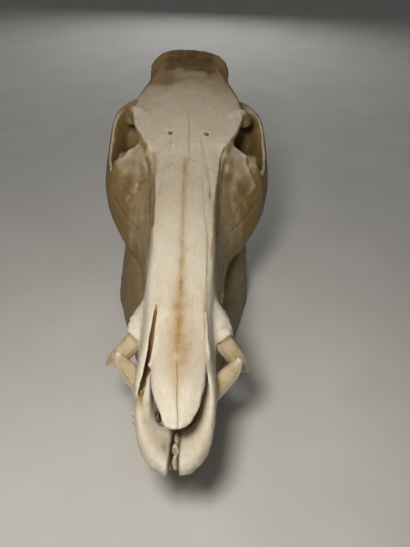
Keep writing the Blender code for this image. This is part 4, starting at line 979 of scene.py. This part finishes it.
def ground_flat(rows, face, level):
    """Ends every line of the tusk where it meets the plane, then closes the plane with smaller rings."""
    height = rows @ face - level
    past = np.where((height > 0).any(0), (height > 0).argmax(0), len(rows) - 1)
    column = np.arange(rows.shape[1])
    low, high = height[past - 1, column], height[past, column]
    ends = past - 1 + np.clip(-low / (high - low), 0, 1)
    at = np.linspace(0, 1, 80)[:, None] * ends[None, :]
    i = np.minimum(at.astype(int), len(rows) - 2)
    f = (at - i)[:, :, None]
    cut = rows[i, column] * (1 - f) + rows[i + 1, column] * f
    middle = cut[-1].mean(0)
    return np.concatenate([cut] + [(middle + (cut[-1] - middle) * k)[None] for k in (0.96, 0.85, 0.6, 0.3)])


def tusk(kind, side):
    """A tusk: an oval carried along its curve, its radius times 1 + flutes + rings. The root is cut off
    square at the sheath's rim; the upper one ends on its ground facet, the lower one in a rounded point
    where the radius follows a quarter circle."""
    start = np.array(TUSK_START[kind])
    way = np.array(TUSK_WAY[kind]) / np.linalg.norm(TUSK_WAY[kind])
    line = curve(TUSKS[kind], 110)
    line[:, 0] = start[0] + TUSK_SPREAD[kind][side] * (line[:, 0] - start[0])
    line[:, 2] = start[2] + TUSK_RISE[kind][side] * (line[:, 2] - start[2])
    line = line[(line[:, :3] - start) @ way > 0.0]
    centre, half = line[:, :3], line[:, 3:5]
    along, across, up = carried_frame(centre)
    theta = np.linspace(0, 2 * np.pi, 72, endpoint=False)
    t = np.linspace(0, 1, len(centre))[:, None]
    flutes = 0.022 * np.cos(5 * theta + 0.6) + 0.012 * np.cos(13 * theta + 2) * (1 - 0.4 * t)
    rings = 0.008 * np.sin(46 * t + 3 * np.sin(5 * t))
    radius = (1.04 if kind == "lower_canine" else 0.98) * (1 + flutes + rings)
    grid = ovals(centre, across, up, half[:, :1] * radius, half[:, 1:] * radius, theta)
    first = grid[0] - ((grid[0] - start) @ way)[:, None] * way
    grid = np.concatenate([first[None], grid])
    if kind == "upper_canine":
        face = np.array(FACET_NORMAL) / np.linalg.norm(FACET_NORMAL)
        rows = ground_flat(grid, face, np.array((*FACET_POINT, FACET_Z[side])) @ face)
    else:
        tip = []
        for lean in np.sin(np.linspace(0.25, 1.45, 7)):
            shrink = np.sqrt(1 - lean ** 2)
            tip.append(centre[-1] + (grid[-1] - centre[-1]) * shrink + along[-1] * lean * half[-1].min() * 0.8)
        rows = np.concatenate([grid, np.array(tip)])
    count = rows.shape[0]
    grown = np.linspace(0, 1, count)[:, None] * np.ones_like(theta)[None, :]
    outward = np.cos(theta) * across.mean(0)[:, None] + np.sin(theta) * up.mean(0)[:, None]
    if kind == "upper_canine":
        band = smooth_step(-outward[0], 0.0, 0.6)
        white = smooth_step(grown, 0.86, 0.94) + band * fade_out(grown, 0.1, 0.45)
    else:
        band = smooth_step(np.array(ENAMEL_SIDE) @ outward, 0.3, 0.75)
        white = smooth_step(grown, 0.86, 0.97) + band * smooth_step(grown, 0.2, 0.45)
    rows[:, :, 0] *= side
    mesh = surface("tusk", rows)
    ends = [0, 1]
    keep_value(mesh, "round", np.concatenate([np.tile(np.abs(theta - np.pi) * 2, count), [0, 0]]))
    keep_value(mesh, "along", np.concatenate([grown.ravel(), ends]))
    keep_value(mesh, "white", np.concatenate([np.clip(white, 0, 1).ravel(), ends]))
    return mesh


# The cheek teeth: where each begins along s, its length, its width, and how far out its middle is.
UPPER_TEETH = ((92, 7, 4.5, 19.5), (102, 11, 6, 20), (114, 12, 8.5, 21), (127, 12.5, 12, 22),
               (140, 15.5, 14, 23), (156, 20, 16.5, 23.5), (177, 30, 17, 24))
LOWER_TEETH = ((99, 10, 4.5, 19), (110, 12, 5.5, 20), (123, 14, 7.5, 21),
               (138, 15, 9.5, 22.5), (154, 19, 12, 24), (174, 33, 13.5, 27))
OCCLUSAL_Z = 58.0
UPPER_ROOT_Z, LOWER_ROOT_Z = 74.0, 45.0
FIRST_LOBED = 3


def squared(v):
    """Pushes a cosine or sine outwards, so that a circle becomes a rounded oblong."""
    return np.sign(v) * np.abs(v) ** 0.62


def crown(s, length, width, x, root_z, crown_z, side, lobed):
    """A cheek tooth: a rounded oblong that swells above its neck, its top raised and dented by
    cos(pi * lobes * v) along and cos(2 pi u) across for the cusps, pinched between the lobes."""
    lobes = max(2, round(length / 9.5)) if lobed else 1
    theta = np.linspace(0, 2 * np.pi, 64, endpoint=False)
    share = np.array([0.0, 0.15, 0.35, 0.55, 0.72, 0.84, 0.92, 0.97, 1.0, 1.0, 1.0, 1.0])
    swell = np.array([0.86, 0.93, 1.0, 1.04, 1.04, 1.0, 0.93, 0.84, 0.72, 0.5, 0.28, 0.08])
    du, dv = squared(np.cos(theta)), squared(np.sin(theta))
    waist = 1 - 0.09 * (np.cos(2 * np.pi * lobes * (dv + 1) / 2) + 1) / 2 * np.abs(du)
    px = x + (width / 2 + 0.45) * swell[:, None] * du * waist
    ps = s + length / 2 + (length / 2 + 0.25) * swell[:, None] * dv
    along = (ps - s) / length
    cusps = 1.0 - 2.2 * np.abs(along - 0.5)
    if lobed:
        cusps = 0.55 * (1 - np.cos(2 * np.pi * lobes * along)) / 2
        cusps = cusps - 0.35 * np.cos(2 * np.pi * (px - x) / width)
    grinding = np.where(share > 0.9, smooth_step(share, 0.88, 1.0), 0.0)[:, None]
    rise = np.clip(cusps, -0.6, 0.75) * grinding
    direction = np.sign(crown_z - root_z)
    pz = root_z + (crown_z - root_z) * share[:, None] + direction * (rise - 0.1)
    mesh = surface("crown", np.stack([side * px, ps, pz], -1))
    worn = np.repeat(smooth_step(share, 0.9, 1.0), len(theta))
    worn = worn * np.clip(1 - 1.3 * np.abs(rise.ravel()), 0, 1)
    keep_value(mesh, "worn", np.concatenate([worn, [0, 1]]))
    return mesh


def incisor(path, side):
    """An incisor: an oval along a short curve, narrowing to a chisel edge."""
    line = curve(path, 22)
    centre, half = line[:, :3], line[:, 3:5] + 0.35
    along, across, up = carried_frame(centre)
    theta = np.linspace(0, 2 * np.pi, 32, endpoint=False)
    t = np.linspace(0, 1, len(centre))[:, None]
    thin = 1 - 0.35 * smooth_step(t, 0.5, 1.0)
    rows = ovals(centre, across, up, half[:, :1], half[:, 1:] * thin, theta)
    tip = [centre[-1] + (rows[-1] - centre[-1]) * k + along[-1] * lift
           for k, lift in ((0.85, 0.5), (0.55, 0.85), (0.2, 0.95))]
    rows = np.concatenate([rows, np.array(tip)])
    rows[:, :, 0] *= side
    mesh = surface("incisor", rows)
    worn = np.repeat(np.linspace(0, 1, len(rows)) ** 6, len(theta))
    keep_value(mesh, "worn", np.concatenate([worn, [0, 1]]))
    return mesh


# Paths of the incisors and scraps: x, s, z and the two half-widths.
UPPER_INCISORS = (((7, 13, 76, 3.2, 3.2), (6, 11.5, 70, 3.2, 3.4), (4.6, 11.8, 65.5, 2.6, 3),
                   (4, 13, 63, 1.6, 2)),
                  ((13, 21, 76, 2.6, 3), (12.5, 19, 70, 2.6, 3.2), (11, 18, 65.5, 1.8, 2.2)),
                  ((20, 38, 77, 2, 2.6), (21, 36.5, 71, 2, 3), (21, 35.5, 68, 1.2, 1.8)))
LOWER_INCISORS = (((3.5, 31, 49, 3, 3), (3.5, 21.5, 53.5, 3, 3), (3.2, 16, 57, 2.4, 2.2)),
                  ((9.5, 32, 49, 3, 3), (9.5, 23.5, 54, 3, 3), (9, 19, 58, 2.2, 2)),
                  ((15, 34, 50, 2.4, 2.4), (15.5, 25, 56, 2.2, 2.2), (15.5, 22, 60, 1.4, 1.6)))
GRISTLE = (((1.3, 24.5, 78.4, 0.9, 1.6), (0.8, 21.0, 78.6, 1.7, 2.6), (1.2, 17.0, 77.6, 1.0, 1.8)),
           ((0.9, 18.5, 77.4, 1.1, 2.0), (0.2, 14.5, 78.4, 1.9, 2.9), (1.0, 10.0, 76.6, 1.3, 2.4)),
           ((0.9, 11.5, 75.6, 1.2, 2.2), (0.2, 8.0, 74.8, 1.6, 2.9), (0.4, 4.8, 72.4, 1.1, 2.0)))
FLAKES = (((-25.0, 36.5, 84.5, 0.6, 1.1), (-25.5, 34.0, 83.6, 1.0, 1.2), (-25.1, 31.5, 83.0, 0.5, 0.9)),
          ((-24.5, 30.5, 83.4, 0.5, 1.0), (-24.6, 28.5, 82.6, 0.9, 1.1), (-23.9, 26.5, 82.2, 0.4, 0.7)),
          ((-22.3, 24.0, 81.5, 0.4, 0.8), (-22.6, 22.6, 80.8, 0.8, 0.9), (-21.9, 21.0, 80.6, 0.4, 0.6)))
MEMBRANE = ((-14.7, 86, 117.5, 1.2, 1.5), (-15.2, 78, 114.0, 2.2, 1.8), (-16.0, 68, 108.0, 2.6, 2.0),
            (-16.9, 58, 99.0, 2.4, 2.0))


def scrap(line, seed, lift, count=26, blunt=True):
    """A dried scrap: an oval carried along a curve, its radius times 1 + lift * lumps and, where it is
    blunt, times the fourth-power arch sqrt(1 - t^4) that rounds its ends."""
    path = curve(line, count)
    theta = np.linspace(0, 2 * np.pi, 28, endpoint=False)
    close = np.sqrt(np.clip(1 - np.linspace(-1, 1, count) ** 4, 0.02, 1))[:, None] if blunt else 1.0
    ring = np.stack([np.cos(theta)[None] * path[:, 3:4] * close, np.zeros((count, len(theta))),
                     np.sin(theta)[None] * path[:, 4:5] * close], -1)
    rows = path[:, None, :3] + ring
    torn = 1 + lift * rough(rows.reshape(-1, 3), 2.2, seed).reshape(rows.shape[:2])
    return surface("scrap", path[:, None, :3] + ring * torn[:, :, None])


# Making the pieces

bone = bone_material()
ivory = ivory_material()
enamel = enamel_material()

CRANIUM_NODES = ("braincase", "maxilla", "zygomatic_left", "zygomatic_right", "nasal_left", "nasal_right",
                 "premaxilla_left", "premaxilla_right")
cranium = bones_as_one("cranium", CRANIUM_NODES, voxel=0.85, spread=0.22, rounds=12)
cut_away(cranium, scrap(SLIT_TUBE, seed=0, lift=0.0, count=70, blunt=False))
sculpt(cranium, cranium_relief, cranium_tints, bone, SEAMS, bowl_calm)
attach(cranium, "root")
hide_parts(*CRANIUM_NODES)

jaw = bones_as_one("lower_jaw", ("mandible",), voxel=1.2, spread=0.0, rounds=12)
sculpt(jaw, jaw_relief, jaw_tints, bone)
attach(jaw, "root")
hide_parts("mandible")

for word, side in (("left", 1), ("right", -1)):
    for kind in TUSKS:
        tooth = joined(f"{kind}_{word}_ivory", [tusk(kind, side)])
        tooth.data.materials.append(ivory)
        tooth.data.shade_smooth()
        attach(tooth, "root")
        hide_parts(f"{kind}_{word}")

upper = [crown(*tooth, UPPER_ROOT_Z, OCCLUSAL_Z + 0.7, side, k >= FIRST_LOBED)
         for k, tooth in enumerate(UPPER_TEETH) for side in (1, -1)]
lower = [crown(*tooth, LOWER_ROOT_Z, OCCLUSAL_Z - 0.9, side, k >= FIRST_LOBED)
         for k, tooth in enumerate(LOWER_TEETH) for side in (1, -1)]
upper_front = [incisor(path, side) for path in UPPER_INCISORS for side in (1, -1)]
lower_front = [incisor(path, side) for path in LOWER_INCISORS for side in (1, -1)]
for name, crowns in (("upper_cheek_teeth", upper), ("lower_cheek_teeth", lower),
                     ("upper_incisors", upper_front), ("lower_incisors", lower_front)):
    row = joined(name, crowns)
    row.data.materials.append(enamel)
    row.data.shade_smooth()
    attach(row, "root")

white_gristle = gristle_material("gristle_dried_and_torn", "#c9bca6", "#97805e", "#e0d7c6")
brown_gristle = gristle_material("membrane_dried_in_the_nose", "#8a6230", "#6a4820", "#a07a45")
for name, paths, dried in (("gristle_between_lobes", GRISTLE, white_gristle),
                           ("flakes_on_rim", FLAKES, white_gristle),
                           ("membrane_in_slit", (MEMBRANE,), brown_gristle)):
    scraps = joined(name, [scrap(path, 70 + k, 0.25) for k, path in enumerate(paths)])
    scraps.data.materials.append(dried)
    scraps.data.shade_smooth()
    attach(scraps, "root")

# Floor, light and camera

SENSOR = 36.0
FOCAL_PX, PHOTO_HEIGHT_PX = 500.0, 547.0
CAMERA_PLACE = np.array((0.0088, -0.3257, 0.3273))
AZIMUTH, ELEVATION, ROLL = np.radians((-1.48, 37.27, 2.17))
level = np.array((np.cos(AZIMUTH), np.sin(AZIMUTH), 0.0))
flat_ahead = np.array((-np.sin(AZIMUTH), np.cos(AZIMUTH), 0.0))
ahead = np.cos(ELEVATION) * flat_ahead - np.sin(ELEVATION) * np.array((0.0, 0.0, 1.0))
upright = np.cross(level, ahead)
right = np.cos(ROLL) * level + np.sin(ROLL) * upright
above = -np.sin(ROLL) * level + np.cos(ROLL) * upright


def facing_matrix(place, right, above, ahead):
    """Stands a camera or a light at a place, looking ahead."""
    matrix = Matrix.Identity(4)
    for k in range(3):
        matrix[k][0], matrix[k][1], matrix[k][2], matrix[k][3] = right[k], above[k], -ahead[k], place[k]
    return matrix


camera_data = bpy.data.cameras.new("camera")
camera_data.sensor_width = SENSOR
camera_data.lens = FOCAL_PX / PHOTO_HEIGHT_PX * SENSOR
camera_data.clip_start = 0.01
camera = link("camera", camera_data)
camera.matrix_world = facing_matrix(CAMERA_PLACE, right, above, ahead)
bpy.context.scene.camera = camera


def soft_light(name, place, aim, size, power, colour):
    """A round soft box of that width at a place, turned towards its aim."""
    place, aim = np.asarray(place, float), np.asarray(aim, float)
    data = bpy.data.lights.new(name, "AREA")
    data.shape = "DISK"
    data.size = size
    data.energy = power
    data.color = linear(colour)[:3]
    ahead = (aim - place) / np.linalg.norm(aim - place)
    right = np.cross(ahead, (0.0, 0.0, 1.0))
    right /= np.linalg.norm(right)
    made = link(name, data)
    made.matrix_world = facing_matrix(place, right, np.cross(right, ahead), ahead)


# The photo's light stands beside and above the camera; the others only lift the shadows and the floor.
soft_light("key", CAMERA_PLACE - 0.055 * right + 0.075 * above, (0.0, 0.0, 0.11), 0.08, 1.12, "#fffaf3")
soft_light("fill_left", (-0.9, 0.1, 0.7), (0.0, 0.0, 0.1), 0.7, 0.16, "#fffaf2")
soft_light("fill_right", (0.9, 0.2, 0.7), (0.0, 0.0, 0.1), 0.7, 0.12, "#f4f8ff")
soft_light("fill_back", (0.0, 1.25, 0.6), (0.0, 0.3, 0.05), 0.9, 2.4, "#ffffff")

world = bpy.data.worlds.new("studio")
world.use_nodes = True
background = world.node_tree.nodes["Background"]
background.inputs["Color"].default_value = linear("#e8e8e6")
background.inputs["Strength"].default_value = 0.1
bpy.context.scene.world = world
bpy.context.scene.view_settings.view_transform = "Standard"

FLOOR_HALF = 3.0
corners = [(x * FLOOR_HALF, y * FLOOR_HALF, -FLOOR_GAP) for x, y in ((-1, -1), (1, -1), (1, 1), (-1, 1))]
floor_mesh = bpy.data.meshes.new("floor")
floor_mesh.from_pydata(corners, [], [(0, 1, 2, 3)])
floor_mesh.materials.append(floor_material())
floor = link("floor", floor_mesh)
